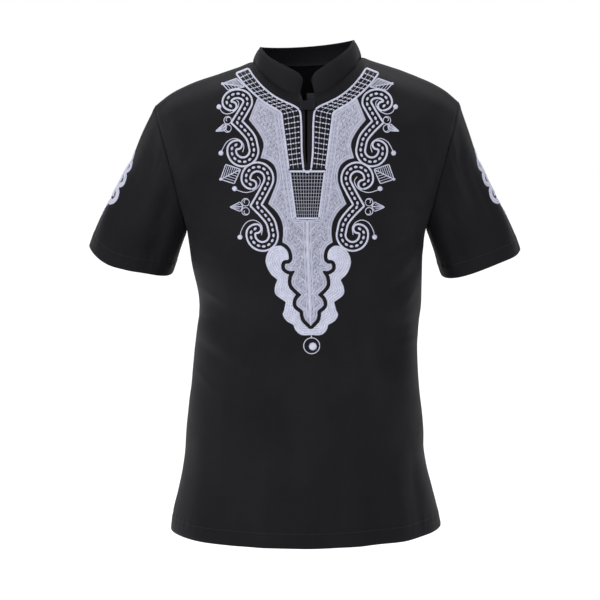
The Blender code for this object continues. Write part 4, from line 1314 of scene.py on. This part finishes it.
class Stitching:
    """One piece of embroidery: lines, knots and filled areas gathered in one mesh."""

    def __init__(self, chart):
        self.chart = chart
        self.mesh = bmesh.new()
        self.knots = []

    def line(self, path, width, height):
        """A raised line of satin stitch with rounded ends."""
        path = evenly(path, LINE_STEP)
        ahead = np.gradient(path, axis=0)
        ahead /= np.maximum(np.linalg.norm(ahead, axis=1, keepdims=True), 1e-9)
        gone = length_along(path, 0)
        from_end = np.minimum(gone, gone[-1] - gone) / (width / 2)
        full = np.sqrt(1 - (1 - np.clip(from_end, LINE_TIP, 1)) ** 2)[:, None]
        shape = np.array(LINE_SHAPE)
        over = shape[:, 0] * width / 2
        flat = path[:, None] + right_of(ahead)[:, None] * (over * full)[..., None]
        lift = shape[:, 1] * height * full - LINE_TUCK * (1 - full)
        uv = np.stack(np.broadcast_arrays(gone[:, None], over), axis=-1) / 1000
        join(self.mesh, grid_mesh(self.chart.place(flat, lift), uv))

    def pair(self, path, width, height):
        """The same line on both sides of the centre."""
        for side in (-1, 1):
            self.line(mirrored(path, side), width, height)

    def knot(self, middle, length, width, height, angle=0.0):
        """A domed stitch, or a row of stitches worked over each other."""
        cos, sin = math.cos(angle), math.sin(angle)
        along, over = BALL[:, 0] * length / 2, BALL[:, 1] * width / 2
        flat = np.stack([middle[0] + along * cos - over * sin, middle[1] + along * sin + over * cos], axis=1)
        points = self.chart.place(flat, BALL[:, 2] * height)
        self.knots.append((points, np.stack([along, over], axis=1) / 1000))

    def pair_of_knots(self, middle, length, width, height):
        """The same knot on both sides of the centre."""
        for side in (-1, 1):
            self.knot(mirrored(middle, side), length, width, height)

    def row(self, places, side, size, ends=0):
        """Knots at places along a line, without some at each end, each turned the line's way."""
        ahead = np.gradient(places, axis=0)
        for i in range(ends, len(places) - ends):
            angle = math.atan2(ahead[i][1], side * ahead[i][0])
            self.knot(mirrored(places[i], side), *size, angle)

    def fill(self, inside, box, height, relief):
        """An area filled with stitches, where inside(places) is negative, with its edge trimmed
        to the outline and its rows raised."""
        (left, low), (right, high) = box
        columns, rows = round((right - left) / FILL_CELL), round((high - low) / FILL_CELL)
        across, up = np.linspace(left, right, columns + 1), np.linspace(low, high, rows + 1)
        flat = np.stack(np.meshgrid(across, up), axis=-1).reshape(-1, 2)
        depth = inside(flat)
        slope = np.stack([inside(flat + way) - depth for way in ((NUDGE, 0), (0, NUDGE))], axis=1) / NUDGE
        slope /= np.maximum(np.linalg.norm(slope, axis=1, keepdims=True), 1e-6)
        at_edge = abs(depth) < FILL_CELL * FILL_TRIM
        trimmed = np.where(at_edge[:, None], flat - slope * depth[:, None], flat)
        depth_left = np.where(at_edge, 0, depth)
        rise, dark = relief(trimmed, depth_left)
        lift = height * smooth(0, FILL_SLOPE, -depth_left) * rise - FILL_TUCK * (depth_left >= 0)
        part = bmesh.new()
        layer = part.loops.layers.uv.new("UVMap")
        groove_shade_and_stipple = part.verts.layers.float.new("groove_shade_and_stipple")
        made = bmesh.ops.create_grid(part, x_segments=columns, y_segments=rows, size=1)["verts"]
        # Each point keeps its painted shade, the darkening in the grooves between rows, for the thread's
        # colour
        for vert, point, shade in zip(made, self.chart.place(trimmed, lift), dark):
            vert.co = point
            vert[groove_shade_and_stipple] = shade
        spread(part, layer, trimmed / 1000)
        kept = depth < FILL_CELL * FILL_KEEP
        spare = [face for face in part.faces if not all(kept[vert.index] for vert in face.verts)]
        bmesh.ops.delete(part, geom=spare, context="FACES")
        join(self.mesh, part)

    def finish(self, name, material):
        if self.knots:
            join(self.mesh, many_balls(*(np.array(column) for column in zip(*self.knots))))
        return dress(object_of(self.mesh, name, material), "embroidery")


def distance_to(outline):
    """A function of flat places: how far each is outside a closed outline, less than 0 inside."""
    start = np.asarray(outline, float)
    end = np.roll(start, -1, axis=0)
    span = end - start
    square = np.maximum((span**2).sum(axis=1), 1e-12)

    def measure(places):
        result = np.empty(len(places))
        for first in range(0, len(places), BATCH):
            spots = places[first : first + BATCH, None]
            share = np.clip(((spots - start) * span).sum(axis=2) / square, 0, 1)
            gap = np.linalg.norm(spots - start - share[..., None] * span, axis=2).min(axis=1)
            above = (start[:, 1] > spots[..., 1]) != (end[:, 1] > spots[..., 1])
            with np.errstate(divide="ignore", invalid="ignore"):
                reach = start[:, 0] + (spots[..., 1] - start[:, 1]) * span[:, 0] / span[:, 1]
            crossings = (above & (spots[..., 0] < reach)).sum(axis=1)
            result[first : first + BATCH] = np.where(crossings % 2 == 1, -gap, gap)
        return result

    return measure


def rows_at(depth, pitch):
    """Raised rows at a pitch, and painted shade: a dark line in the groove between each two."""
    from_ridge = abs(depth / pitch % 1 - 0.5) * 2
    return 1 - ROW_DEPTH * smooth(ROW_RIDGE, 1, from_ridge), smooth(ROW_GROOVE_SHADE_FROM, 1, from_ridge)


# Width and height of each kind of sewn line
BORDER = (3.0, 1.1)
BAND_FOOT_BAR = (3.2, 1.1)
GRID_FOOT_BAR = (3.0, 1.0)
LONG_THREAD = (0.5, 0.5)
CROSS_THREAD = (0.55, 0.6)
STRIPE = (3.9, 0.95)
SCROLL_WALL = (3.1, 1.15)
SPINE = (3.0, 1.5)
VEIN = (1.6, 1.35)
VEIN_RING = (1.1, 1.2)
OUTLINE = (1.7, 0.9)
HATCH = (1.0, 0.6)
BARB = (1.1, 0.7)
CURL = (1.3, 0.8)
TAIL = (1.4, 0.8)
RING = (1.5, 0.9)
SLEEVE_SPINE = (2.6, 1.5)

# Length, width and height of each kind of knot
LATTICE_KNOT = (2.3, 2.4, 0.9)
LATTICE_CROSSING = (3.3, 2.4, 0.9)
STRIPE_BAR = (1.0, 3.4, 1.2)
SCROLL_DOT = (6.2, 3.9, 1.35)
KITE_TIP = (4.6, 4.6, 1.3)
TAIL_BALL = (8.0, 8.0, 1.5)
FOOT_BALL = (12.6, 12.6, 1.6)
SLEEVE_BALL = (7.0, 7.0, 1.3)

NECK_BAND_INNER = (
    (89, -15.5), (79, -30), (66, -44.5), (49.5, -57.7), (33, -66.5), (19.7, -72.6), (11.5, -79.5),
    (9.2, -95), (8.6, -118), (8.0, -142), (5.8, -164),
)
NECK_BAND_OUTER = (
    (107.8, -23), (96, -38), (81, -53), (64.5, -66.5), (50, -75.3), (43, -79.5), (38.3, -84),
    (36.4, -98), (33, -121), (30, -144), (27, -165),
)
BAND_TURN = 7
BAND_ROWS = 23
BAND_ROWS_ABOVE = 14
BAND_SLANT = 0.012
BAND_LINES = (0.36, 0.68)
BAND_KNOTS = (0.17, 0.36, 0.52, 0.68, 0.84)
BAND_FOOT = ((-27, -168.5), (27, -168.5))
BAND_FOOT_STEP = 0.8
BAND_SIDE_START = 5
LONG_THREAD_POINTS, CROSS_THREAD_POINTS = 120, 9

GRID_TOP, GRID_FOOT = (24.5, -170), (16.0, -236)
GRID_COLUMNS, GRID_ROWS = 11, 13
GRID_SIDE = ((26.8, -166), (22, -202), (17.2, -238))

STRIPE_OFFSETS = (5.2, 10.6)
STRIPE_TOP = -84.5
STRIPE_TOP_STEP = 0.3
STRIPE_PITCH = 3.1

SCROLLS = (
    ((104.2, -66.5, 15.7, 12.2), (104.5, -96.3), (95.0, -138.3, 16.5, 16.5)),
    ((73.4, -179.0, 16.9, 17.0), (75.5, -218.2), (66.4, -261.5, 16.8, 17.2)),
)
EYE, UPPER_EXIT, LOWER_EXIT = math.radians(-48), math.radians(205), math.radians(185)
HOOK_IN, HOOK_SHARE, HOOK_POWER = 0.70, 0.16, 1.5
HEAD_POINTS = 60
UPPER_BULGE = (-0.6, 0.4)
BULGE_WAY = np.array((-0.84, 0.55))
BULGES = ((0.33, 3.7), (0.67, 5.2))
WALL = 6.5
WALL_CLEARANCE = 0.97
DOT_INSET = 3.2
DOT_PITCH = 8.0

YOKE_BORDER = (
    (74, -59.5), (87, -93), (72.5, -111.5), (64.8, -129), (69, -149.5), (59, -152), (49.5, -159.5),
    (45.2, -171.5), (45.8, -185), (51, -199.5), (57.8, -216), (45, -228.5), (37.5, -243), (35.7, -258),
    (37.3, -272.5), (29.5, -277.5), (24.5, -286), (23.5, -297), (28, -303), (34, -304), (34.5, -311),
    (28, -315), (21, -315), (25.5, -325), (25, -337), (12.5, -350), (19, -357), (20, -366), (11.5, -374),
    (10.5, -381), (8, -388), (0, -396),
)
YOKE_CORNERS = (1, 4, 10, 14, 25)
YOKE_CLOSE = (0, -239)
YOKE_BOX = ((-90, -404), (90, -56))
YOKE_HEIGHT = 0.75
TONGUE_START = 14
JOIN_HALF_WIDTH = 1.5
JOIN_TOP, JOIN_FOOT = -241, -394
EDGE_PITCH = 3.3
# How strongly painted shade darkens the grooves between the rows along the yoke's edge
EDGE_GROOVE_SHADE = 0.8
EDGE_ROWS_END = (5.5, 8.5)
WINDING_PITCH = 2.7
WINDING_WANDER, WINDING_CLIMB = 1.5, 0.3
STREAK_PITCH = 3.0
STREAK_SLOPE, STREAK_SWAY = 0.163, 0.35
# How strongly painted shade darkens the grooves of the inner rows, and how dark the stipple pattern is
INNER_GROOVE_SHADE, STIPPLE_DARK = 0.6, 0.95
CHEST_FOOT, CHEST_TOP = -262, -236

LOBE_EDGE = (
    (34, -277), (48, -278), (59, -287), (63, -302), (57, -318), (47, -328), (51, -339), (50, -350),
    (36, -361), (38.5, -372), (41, -380), (36, -389), (26, -395), (23, -403), (15, -410), (0, -410.5),
)
LOBE_CUSPS = (5, 8, 12)
LOBE_CLOSE = ((-60, -410.5), (-60, -277))
TONGUE_CLOSE = ((-9, -387), (-9, -274))
LOBE_BOX = ((-66, -415), (74, -274))
LOBE_HEIGHT = 0.85
LOBE_PITCH = 3.4
# How strongly painted shade darkens the grooves between the border's rows
LOBE_GROOVE_SHADE = 0.62
CHANNEL = 5.0

SPINE_LINE = ((0, -241), (0, -300), (0, -396))
Vein = namedtuple("Vein", "foot reach rise")
VEINS = (Vein(-264, 13, 18), Vein(-283, 16, 21), Vein(-337, 15, 17), Vein(-354, 9, 12), Vein(-380, 7, 9))
VEIN_BEND_REACH, VEIN_BEND_RISE = 0.45, 0.5
VEIN_RINGS = ((11, -296), (11, -315))
VEIN_RING_RADIUS, VEIN_RING_STEP = 3.4, 0.9

KITES = (
    ((127.6, -39), (105.7, -31), (93.5, -44), (118.5, -49)),
    ((128, -180.5), (120.4, -158.5), (98.2, -165.8), (107.6, -186.7)),
)
HATCH_LINES = (8, 6)
SHORTEST_HATCH = 3

ARROWS = (
    ((135.8, -110), (123.5, -95), (122.5, -113), ((118, -93.8), (118, -105.8))),
    ((114, -221.4), (99, -208), (99, -233), ((90.8, -213.8), (90.8, -227.2))),
)
ARROW_NARROWING = 0.22
ARROW_HEEL = 0.3
BARB_SHARES = (0.25, 0.75)
BARB_REACH = 0.7
CURL_POINTS = 44
CURL_START, CURL_TURN = math.radians(-60), math.radians(560)
CURL_EYE, CURL_GROWTH, CURL_GROWN_AT = 1.4, 4.2, 0.42

TAILS = (
    ((131.5, -73.8), ((126, -82), (118, -84.5), (109, -81), (103, -74), (102, -67.5), (105.5, -64))),
    ((127.5, -142), ((124, -134), (118, -125), (108, -120.5), (98, -124), (93.5, -132), (95.5, -141))),
    ((107.1, -194), ((101, -197), (90, -199.5), (79, -196.5), (71.5, -190), (69.3, -182), (73.5, -176))),
    ((99.3, -265.5), ((97, -255), (90, -244), (80, -240), (71, -243.5), (66.3, -251), (67.5, -262))),
)
FOOT_LINK = ((5.9, -410), (6.4, -415))
FOOT_RING, FOOT_RING_RADIUS = (6.5, -426), 11.8
FOOT_BALL_PLACE = (8.3, -427)

SLEEVE_MOTIF = (
    (0, -74), (7, -78), (12, -86), (19, -87), (25, -93), (25, -100), (21, -105), (29, -107), (35, -115),
    (34, -123), (28, -128), (37, -131), (42, -139), (41, -149), (33, -157), (20, -160), (11, -168), (0, -172),
)
SLEEVE_CUSPS = (2, 6, 10, 15)
SLEEVE_CLOSE = ((-50, -172), (-50, -74))
SLEEVE_BOX = ((-46, -175), (46, -71))
SLEEVE_RIM, SLEEVE_CORE = 9.5, 13.0
# How strongly painted shade darkens the grooves between the motif's rows
SLEEVE_GROOVE_SHADE = 0.6
SLEEVE_SPINE_LINE = ((0, -96), (0, -152))
SLEEVE_RING, SLEEVE_RING_RADIUS = (0, -184), 7.0


def head(over, up, half_width, half_height, way):
    """A scroll's round head, from its eye, where it hooks inward, to where it runs out."""
    share = np.linspace(0, 1, HEAD_POINTS)
    angles = EYE + ((UPPER_EXIT if way > 0 else LOWER_EXIT) - EYE) * share
    full = 1 - (1 - HOOK_IN) * np.clip(1 - share / HOOK_SHARE, 0, 1) ** HOOK_POWER
    across, along = half_width * full * np.cos(angles), way * half_height * full * np.sin(angles)
    return np.stack([over + across, up + along], axis=1)


def scroll_centre(upper, corner, lower):
    """The middle of a scroll's channel, from the upper eye to the lower one."""
    above, below = head(*upper, 1), head(*lower, -1)[::-1]
    corner = np.array(corner, float)
    first = np.concatenate([above, bend([above[-1], (above[-1] + corner) / 2 + UPPER_BULGE, corner])[1:]])
    sweep = [corner + (below[0] - corner) * share + BULGE_WAY * out for share, out in BULGES]
    second = np.concatenate([bend([corner, *sweep, below[0]])[:-1], below])
    return np.concatenate([evenly(first, LINE_STEP), evenly(second, LINE_STEP)[1:]])


def clear_of(line, centre, gap):
    """The line without the places where it crossed itself inside a bend."""
    apart = np.linalg.norm(line[:, None] - centre, axis=2).min(axis=1)
    return line[apart > WALL_CLEARANCE * gap]


def scroll_wall(centre, gap):
    """The line round the channel: down one side, round the lower eye and back up the other."""
    outward = clear_of(beside(centre, gap), centre, gap)
    inward = clear_of(beside(centre, -gap)[::-1], centre, gap)
    caps = []
    for place, ahead in ((centre[-1], centre[-1] - centre[-2]), (centre[0], centre[0] - centre[1])):
        start = math.atan2(ahead[1], ahead[0]) - math.pi / 2
        caps.append(arc(place, gap, start, start + math.pi)[1:-1])
    return np.concatenate([outward, caps[0], inward, caps[1], outward[:1]])


def band_place(along, over):
    """A place on the neck band: along from the shoulder to the foot, over from the neck's side."""
    lines = []
    for points in (NECK_BAND_INNER, NECK_BAND_OUTER):
        line = bend(points)
        gone = length_along(line, 0)
        turn = gone[np.argmin(np.linalg.norm(line - points[BAND_TURN], axis=1))]
        share = np.interp(along, (0, BAND_ROWS_ABOVE / BAND_ROWS, 1), (0, turn, gone[-1]))
        lines.append(along_line(share, gone, line))
    over = np.asarray(over)[..., None]
    return lines[0] * (1 - over) + lines[1] * over


def sew_neck_band(chart):
    """The lattice round the neck and down both sides of the slit, knotted where its threads cross."""
    work = Stitching(chart)
    for points in (NECK_BAND_INNER, NECK_BAND_OUTER, (NECK_BAND_INNER[0], NECK_BAND_OUTER[0])):
        work.pair(bend(points), *BORDER)
    for over in BAND_LINES:
        down = np.linspace(0, 1, LONG_THREAD_POINTS)
        work.pair(band_place(down, np.full_like(down, over)), *LONG_THREAD)
    across = np.linspace(0, 1, CROSS_THREAD_POINTS)
    for row in range(1, BAND_ROWS):
        start = row / BAND_ROWS
        work.pair(band_place(start + BAND_SLANT * across, across), *CROSS_THREAD)
        for over in BAND_KNOTS:
            size = LATTICE_CROSSING if over in BAND_LINES else LATTICE_KNOT
            work.pair_of_knots(band_place(start + BAND_SLANT * over, over), *size)
    half_width, foot = NECK_BAND_INNER[-1]
    work.line(arc((0, foot), half_width, math.pi, 2 * math.pi, BAND_FOOT_STEP), *BORDER)
    work.line(bend(BAND_FOOT), *BAND_FOOT_BAR)
    return work


def sew_grid(chart):
    """The grid on the chest, below the slit, narrower towards its foot."""
    work = Stitching(chart)
    (top, high), (foot, low) = GRID_TOP, GRID_FOOT
    for column in range(1, GRID_COLUMNS):
        over = column / GRID_COLUMNS * 2 - 1
        work.line(bend([(over * top, high), (over * foot, low)]), *LONG_THREAD)
    for row in range(1, GRID_ROWS):
        up = high + (low - high) * row / GRID_ROWS
        half = np.interp(up, (low, high), (foot, top))
        work.line(bend([(-half, up), (half, up)]), *CROSS_THREAD)
    work.pair(bend([(top + 1, high), (foot + 1, low)]), *BORDER)
    work.line(bend([(-foot - 1, low - 1), (foot + 1, low - 1)]), *GRID_FOOT_BAR)
    return work


def band_side():
    """The line down the band's outer edge and the grid's side."""
    return bend([*NECK_BAND_OUTER[BAND_SIDE_START:-1], *GRID_SIDE])


def sew_stripes(chart):
    """Satin stripes beside the band and the grid, ribbed by short bars."""
    work = Stitching(chart)
    for offset in STRIPE_OFFSETS:
        line = beside(band_side(), -offset)
        line = line[line[:, 1] < STRIPE_TOP - offset * STRIPE_TOP_STEP]
        work.pair(line, *STRIPE)
        for side in (-1, 1):
            work.row(evenly(line, STRIPE_PITCH), side, STRIPE_BAR, ends=1)
    return work


def sew_scrolls(chart):
    """The walls of the scrolls, in one piece, and the oval dots along their channels in another."""
    walls, dots = Stitching(chart), Stitching(chart)
    inset = int(DOT_INSET / LINE_STEP)
    for scroll in SCROLLS:
        centre = scroll_centre(*scroll)
        walls.pair(scroll_wall(centre, WALL), *SCROLL_WALL)
        for side in (-1, 1):
            dots.row(evenly(centre[inset:-inset], DOT_PITCH), side, SCROLL_DOT)
    return walls, dots


def yoke_outline():
    """The yoke and its tongue on one side, up by the band and down the outer border."""
    outer = bend(YOKE_BORDER, sharp=YOKE_CORNERS)
    inner = band_side()[::-1]
    upper = bend(NECK_BAND_OUTER[: BAND_SIDE_START + 1])[::-1]
    upper = upper[upper[:, 0] < YOKE_BORDER[0][0]]
    return np.concatenate([inner, upper, outer, [YOKE_CLOSE]])


def sew_yoke(chart):
    """The yoke and tongue: rows that follow the outline near it, small winding rows inside."""
    work = Stitching(chart)
    measure = distance_to(yoke_outline())

    def inside(places):
        over, up = folded(places).T
        depth = measure(folded(places))
        joined = (over < JOIN_HALF_WIDTH) & (up < JOIN_TOP) & (up > JOIN_FOOT)
        return np.where(joined, np.minimum(depth, -JOIN_HALF_WIDTH), depth)

    # The rows' heights and their painted shade, darker in the grooves between rows, with a dark stipple
    # pattern inside
    def relief(places, depth):
        over, up = folded(places).T
        edge, edge_dark = rows_at(-depth, EDGE_PITCH)
        wander = WINDING_WANDER * np.sin(0.31 * up + np.sin(0.4 * over)) + WINDING_CLIMB * up
        winding, winding_dark = rows_at(-depth + wander, WINDING_PITCH)
        sway = STREAK_SWAY * np.sin(0.5 * up)
        streak, streak_dark = rows_at(over - STREAK_SLOPE * up + sway, STREAK_PITCH)
        chest = smooth(CHEST_FOOT, CHEST_TOP, up)
        inner = winding * (1 - chest) + streak * chest
        inner_dark = winding_dark * (1 - chest) + streak_dark * chest
        stipple = np.sin(1.75 * over + 2 * np.sin(0.6 * up)) * np.sin(1.5 * up + 2 * np.sin(0.7 * over))
        inner_dark = np.clip(INNER_GROOVE_SHADE * inner_dark + STIPPLE_DARK * stipple, 0, 1)
        deep = smooth(*EDGE_ROWS_END, -depth)
        return edge * (1 - deep) + inner * deep, edge_dark * EDGE_GROOVE_SHADE * (1 - deep) + inner_dark * deep

    work.fill(inside, YOKE_BOX, YOKE_HEIGHT, relief)
    return work


def sew_lobes(chart):
    """The scalloped border round the tongue, in rows that follow its outer edge."""
    work = Stitching(chart)
    tongue = bend(YOKE_BORDER[TONGUE_START:], sharp=(YOKE_CORNERS[-1] - TONGUE_START,))
    hollow = distance_to(np.concatenate([tongue, TONGUE_CLOSE]))
    edge = distance_to(np.concatenate([bend(LOBE_EDGE, sharp=LOBE_CUSPS), LOBE_CLOSE]))

    def inside(places):
        return np.maximum(edge(folded(places)), CHANNEL - hollow(folded(places)))

    # The rows' heights, with painted shade darkening the groove between each two
    def relief(places, _):
        rise, dark = rows_at(-edge(folded(places)), LOBE_PITCH)
        return rise, dark * LOBE_GROOVE_SHADE

    work.fill(inside, LOBE_BOX, LOBE_HEIGHT, relief)
    return work


def sew_veins(chart):
    """The spine down the tongue, its slanting veins and small rings."""
    work = Stitching(chart)
    work.line(mirrored(bend(SPINE_LINE), 1), *SPINE)
    for foot, reach, rise in VEINS:
        knee = (reach * VEIN_BEND_REACH, foot + rise * VEIN_BEND_RISE)
        work.pair(bend([(0, foot), knee, (reach, foot + rise)]), *VEIN)
    for place in VEIN_RINGS:
        work.pair(circle(place, VEIN_RING_RADIUS, VEIN_RING_STEP), *VEIN_RING)
    return work


def sew_kites(chart):
    """Kites split by a line from the tip, each half hatched its own way."""
    work = Stitching(chart)
    for kite in KITES:
        tip, above, far, below = np.array(kite, float)
        for ends in ((tip, above), (above, far), (far, below), (below, tip), (tip, far)):
            work.pair(bend(ends), *OUTLINE)
        for corner, lines in zip((above, below), HATCH_LINES):
            for share in np.arange(1, lines) / lines:
                start, end = corner + (far - corner) * share, tip + (far - tip) * share
                if np.linalg.norm(start - end) > SHORTEST_HATCH:
                    work.pair(bend([start, end]), *HATCH)
        work.pair_of_knots(tip, *KITE_TIP)
    return work


def sew_arrows(chart):
    """Arrowheads with a pair of small curls at the base."""
    work = Stitching(chart)
    for *head_corners, curls in ARROWS:
        tip, above, below = np.array(head_corners, float)
        upper = above + (below - above) * ARROW_NARROWING
        lower = below + (above - below) * ARROW_NARROWING
        middle = (above + below) / 2
        heel = middle + (middle - tip) * ARROW_HEEL
        for ends in ((upper, tip), (tip, lower), (lower, heel), (heel, upper), (heel, tip)):
            work.pair(bend(ends), *OUTLINE)
        for share in BARB_SHARES:
            start = upper * (1 - share) + lower * share
            work.pair(bend([start, start + (tip - start) * BARB_REACH]), *BARB)
        share = np.linspace(0, 1, CURL_POINTS)
        radii = CURL_EYE + CURL_GROWTH * smooth(0, CURL_GROWN_AT, share)
        for place, way in zip(curls, (1, -1)):
            work.pair(round_path(place, radii, way * (CURL_START + CURL_TURN * share)), *CURL)
    return work


def sew_tails(chart):
    """Balls on thin curved tails, and the ring and dot below the foot."""
    work = Stitching(chart)
    for ball, tail in TAILS:
        work.pair(bend([ball, *tail]), *TAIL)
        work.pair_of_knots(ball, *TAIL_BALL)
    work.line(bend(FOOT_LINK), *RING)
    work.line(circle(FOOT_RING, FOOT_RING_RADIUS), *RING)
    work.knot(FOOT_BALL_PLACE, *FOOT_BALL)
    return work


def sew_sleeve(chart):
    """A scalloped motif down the sleeve's outer side, with a channel, a spine and a ring."""
    work = Stitching(chart)
    outer = distance_to(np.concatenate([bend(SLEEVE_MOTIF, sharp=SLEEVE_CUSPS), SLEEVE_CLOSE]))

    def rim(places):
        depth = outer(folded(places))
        return np.maximum(depth, -SLEEVE_RIM - depth)

    def core(places):
        return outer(folded(places)) + SLEEVE_CORE

    # The rows' heights, with painted shade darkening the groove between each two
    def relief(places, _):
        rise, dark = rows_at(-outer(folded(places)), LOBE_PITCH)
        return rise, dark * SLEEVE_GROOVE_SHADE

    for part in (rim, core):
        work.fill(part, SLEEVE_BOX, LOBE_HEIGHT, relief)
    work.line(bend(SLEEVE_SPINE_LINE), *SLEEVE_SPINE)
    work.line(circle(SLEEVE_RING, SLEEVE_RING_RADIUS), *RING)
    work.knot(SLEEVE_RING, *SLEEVE_BALL)
    return work


satin = thread("satin_thread", THREAD_TONE, pitch=0.00042, across_rows=0.15)
filling = thread("filling_thread", FILLING_TONE, pitch=0.00045, across_rows=1.0)

chart = front_chart(front)
embroidery = []
for name, sew, material in (
    ("yoke_filling", sew_yoke, filling),
    ("scalloped_border", sew_lobes, satin),
    ("neck_band_lattice", sew_neck_band, satin),
    ("chest_grid", sew_grid, satin),
    ("satin_stripes", sew_stripes, filling),
    ("spine_and_veins", sew_veins, satin),
    ("hatched_kites", sew_kites, satin),
    ("curled_arrowheads", sew_arrows, satin),
    ("balls_and_tails", sew_tails, satin),
):
    embroidery.append(sew(chart).finish(name, material))
walls, dots = sew_scrolls(chart)
embroidery += [walls.finish("scroll_lines", satin), dots.finish("scroll_dots", satin)]
for side, word in ((-1, "right"), (1, "left")):
    sew_sleeve(sleeve_chart(sleeves[side][1])).finish(f"sleeve_{word}_motif", satin)


# The neck tab and the rows of machine stitches

TAB_COLUMNS, TAB_ROWS = 25, 13
TAB_STITCH_INSET = 2.2
TAB_GROOVE_DEPTH, TAB_GROOVE_REACH = 0.35, 0.8
TAB_ROW_HALF = 5.2
TAB_ROW_POINTS = 12
TAB_ROW_SUNK = 0.3
TAB_FACING = (0.0, -0.9, 0.4)

STITCH_PITCH = 0.0034
COLLAR_STITCH_PITCH = 0.0030
TAB_STITCH_PITCH = 0.0024
STITCH_LENGTH = 0.0024
STITCH_WIDTH = 0.0007
STITCH_HEIGHT = 0.00035
PANEL_HEM_ROW = 8
SLEEVE_HEM_ROW = 5
COLLAR_STITCH_ROW = -3


def build_tab(chart, material):
    """A small strap across the slit, on the front's own curve."""
    half_width, half_height = TAB_WIDTH / 2 * 1000, TAB_HEIGHT / 2 * 1000
    across = np.linspace(-half_width, half_width, TAB_COLUMNS)
    up = np.linspace(-half_height, half_height, TAB_ROWS) + TAB_MIDDLE * 1000
    flat = np.stack(np.meshgrid(across, up), axis=-1)
    from_stitches = half_width - abs(flat[..., 0]) - TAB_STITCH_INSET
    lift = (TAB_GAP + TAB_THICKNESS) * 1000 - TAB_GROOVE_DEPTH * near(from_stitches, TAB_GROOVE_REACH)
    obj = object_of(grid_mesh(chart.place(flat, lift), flat / 1000), "neck_tab_cloth", material)
    thicken(obj, TAB_THICKNESS)
    turn_edge(obj, TAB_THICKNESS / 3)
    return dress(obj, "collar", "neck_tab")


def stitch_row(points, outward, pitch=STITCH_PITCH):
    """The balls of a row of short stitches along a line of points on the cloth."""
    gone = length_along(points, 0)
    places = np.arange(pitch / 2, gone[-1], pitch)
    spots, facing = along_line(places, gone, points), along_line(places, gone, outward)
    ahead = np.gradient(spots, axis=0)
    ahead /= np.linalg.norm(ahead, axis=1, keepdims=True)
    axes = np.stack([ahead, np.cross(facing, ahead), facing], axis=1)
    return spots[:, None] + (BALL * (STITCH_LENGTH / 2, STITCH_WIDTH / 2, STITCH_HEIGHT)) @ axes


def level_line(points, height):
    """The line on a grid of cloth at a height above its lowest row, measured along the cloth."""
    climbed = length_along(points, 0)
    return np.array([along_line(height, climbed[:, j], points[:, j]) for j in range(points.shape[1])])


def tab_row(chart, side):
    """The line of stitches at one end of the tab."""
    over = side * (TAB_WIDTH / 2 * 1000 - TAB_STITCH_INSET)
    up = np.linspace(-TAB_ROW_HALF, TAB_ROW_HALF, TAB_ROW_POINTS) + TAB_MIDDLE * 1000
    lift = np.full(TAB_ROW_POINTS, (TAB_GAP + TAB_THICKNESS) * 1000 - TAB_ROW_SUNK)
    return chart.place(np.stack([np.full(TAB_ROW_POINTS, over), up], axis=1), lift)


def sew_machine_rows(chart, panels, sleeves, collar, material):
    """Stitches along the hem, the cuffs, the collar's top edge and the tab's ends."""
    rows = []
    for grid in panels:
        rows.append(stitch_row(level_line(grid, HEM_DEPTH), outward_of(grid)[PANEL_HEM_ROW]))
    for grid in sleeves:
        rows.append(stitch_row(level_line(grid, HEM_DEPTH), outward_of(grid, ring=True)[SLEEVE_HEM_ROW]))
    outward = outward_of(collar)[COLLAR_STITCH_ROW]
    rows.append(stitch_row(collar[COLLAR_STITCH_ROW], outward, COLLAR_STITCH_PITCH))
    for side in (-1, 1):
        outward = np.tile(TAB_FACING, (TAB_ROW_POINTS, 1))
        rows.append(stitch_row(tab_row(chart, side), outward, TAB_STITCH_PITCH))
    balls = np.concatenate(rows)
    mesh = many_balls(balls, np.broadcast_to(BALL[:, :2] / 1000, (*balls.shape[:2], 2)))
    return dress(object_of(mesh, "machine_stitches", material), "cloth")


black_thread = plain("black_thread", BLACK_THREAD)
tab = build_tab(chart, collar_black)
stitches = sew_machine_rows(
    chart, (front_shown, back_shown), (sleeves[-1][1], sleeves[1][1]), collar_shown, black_thread
)
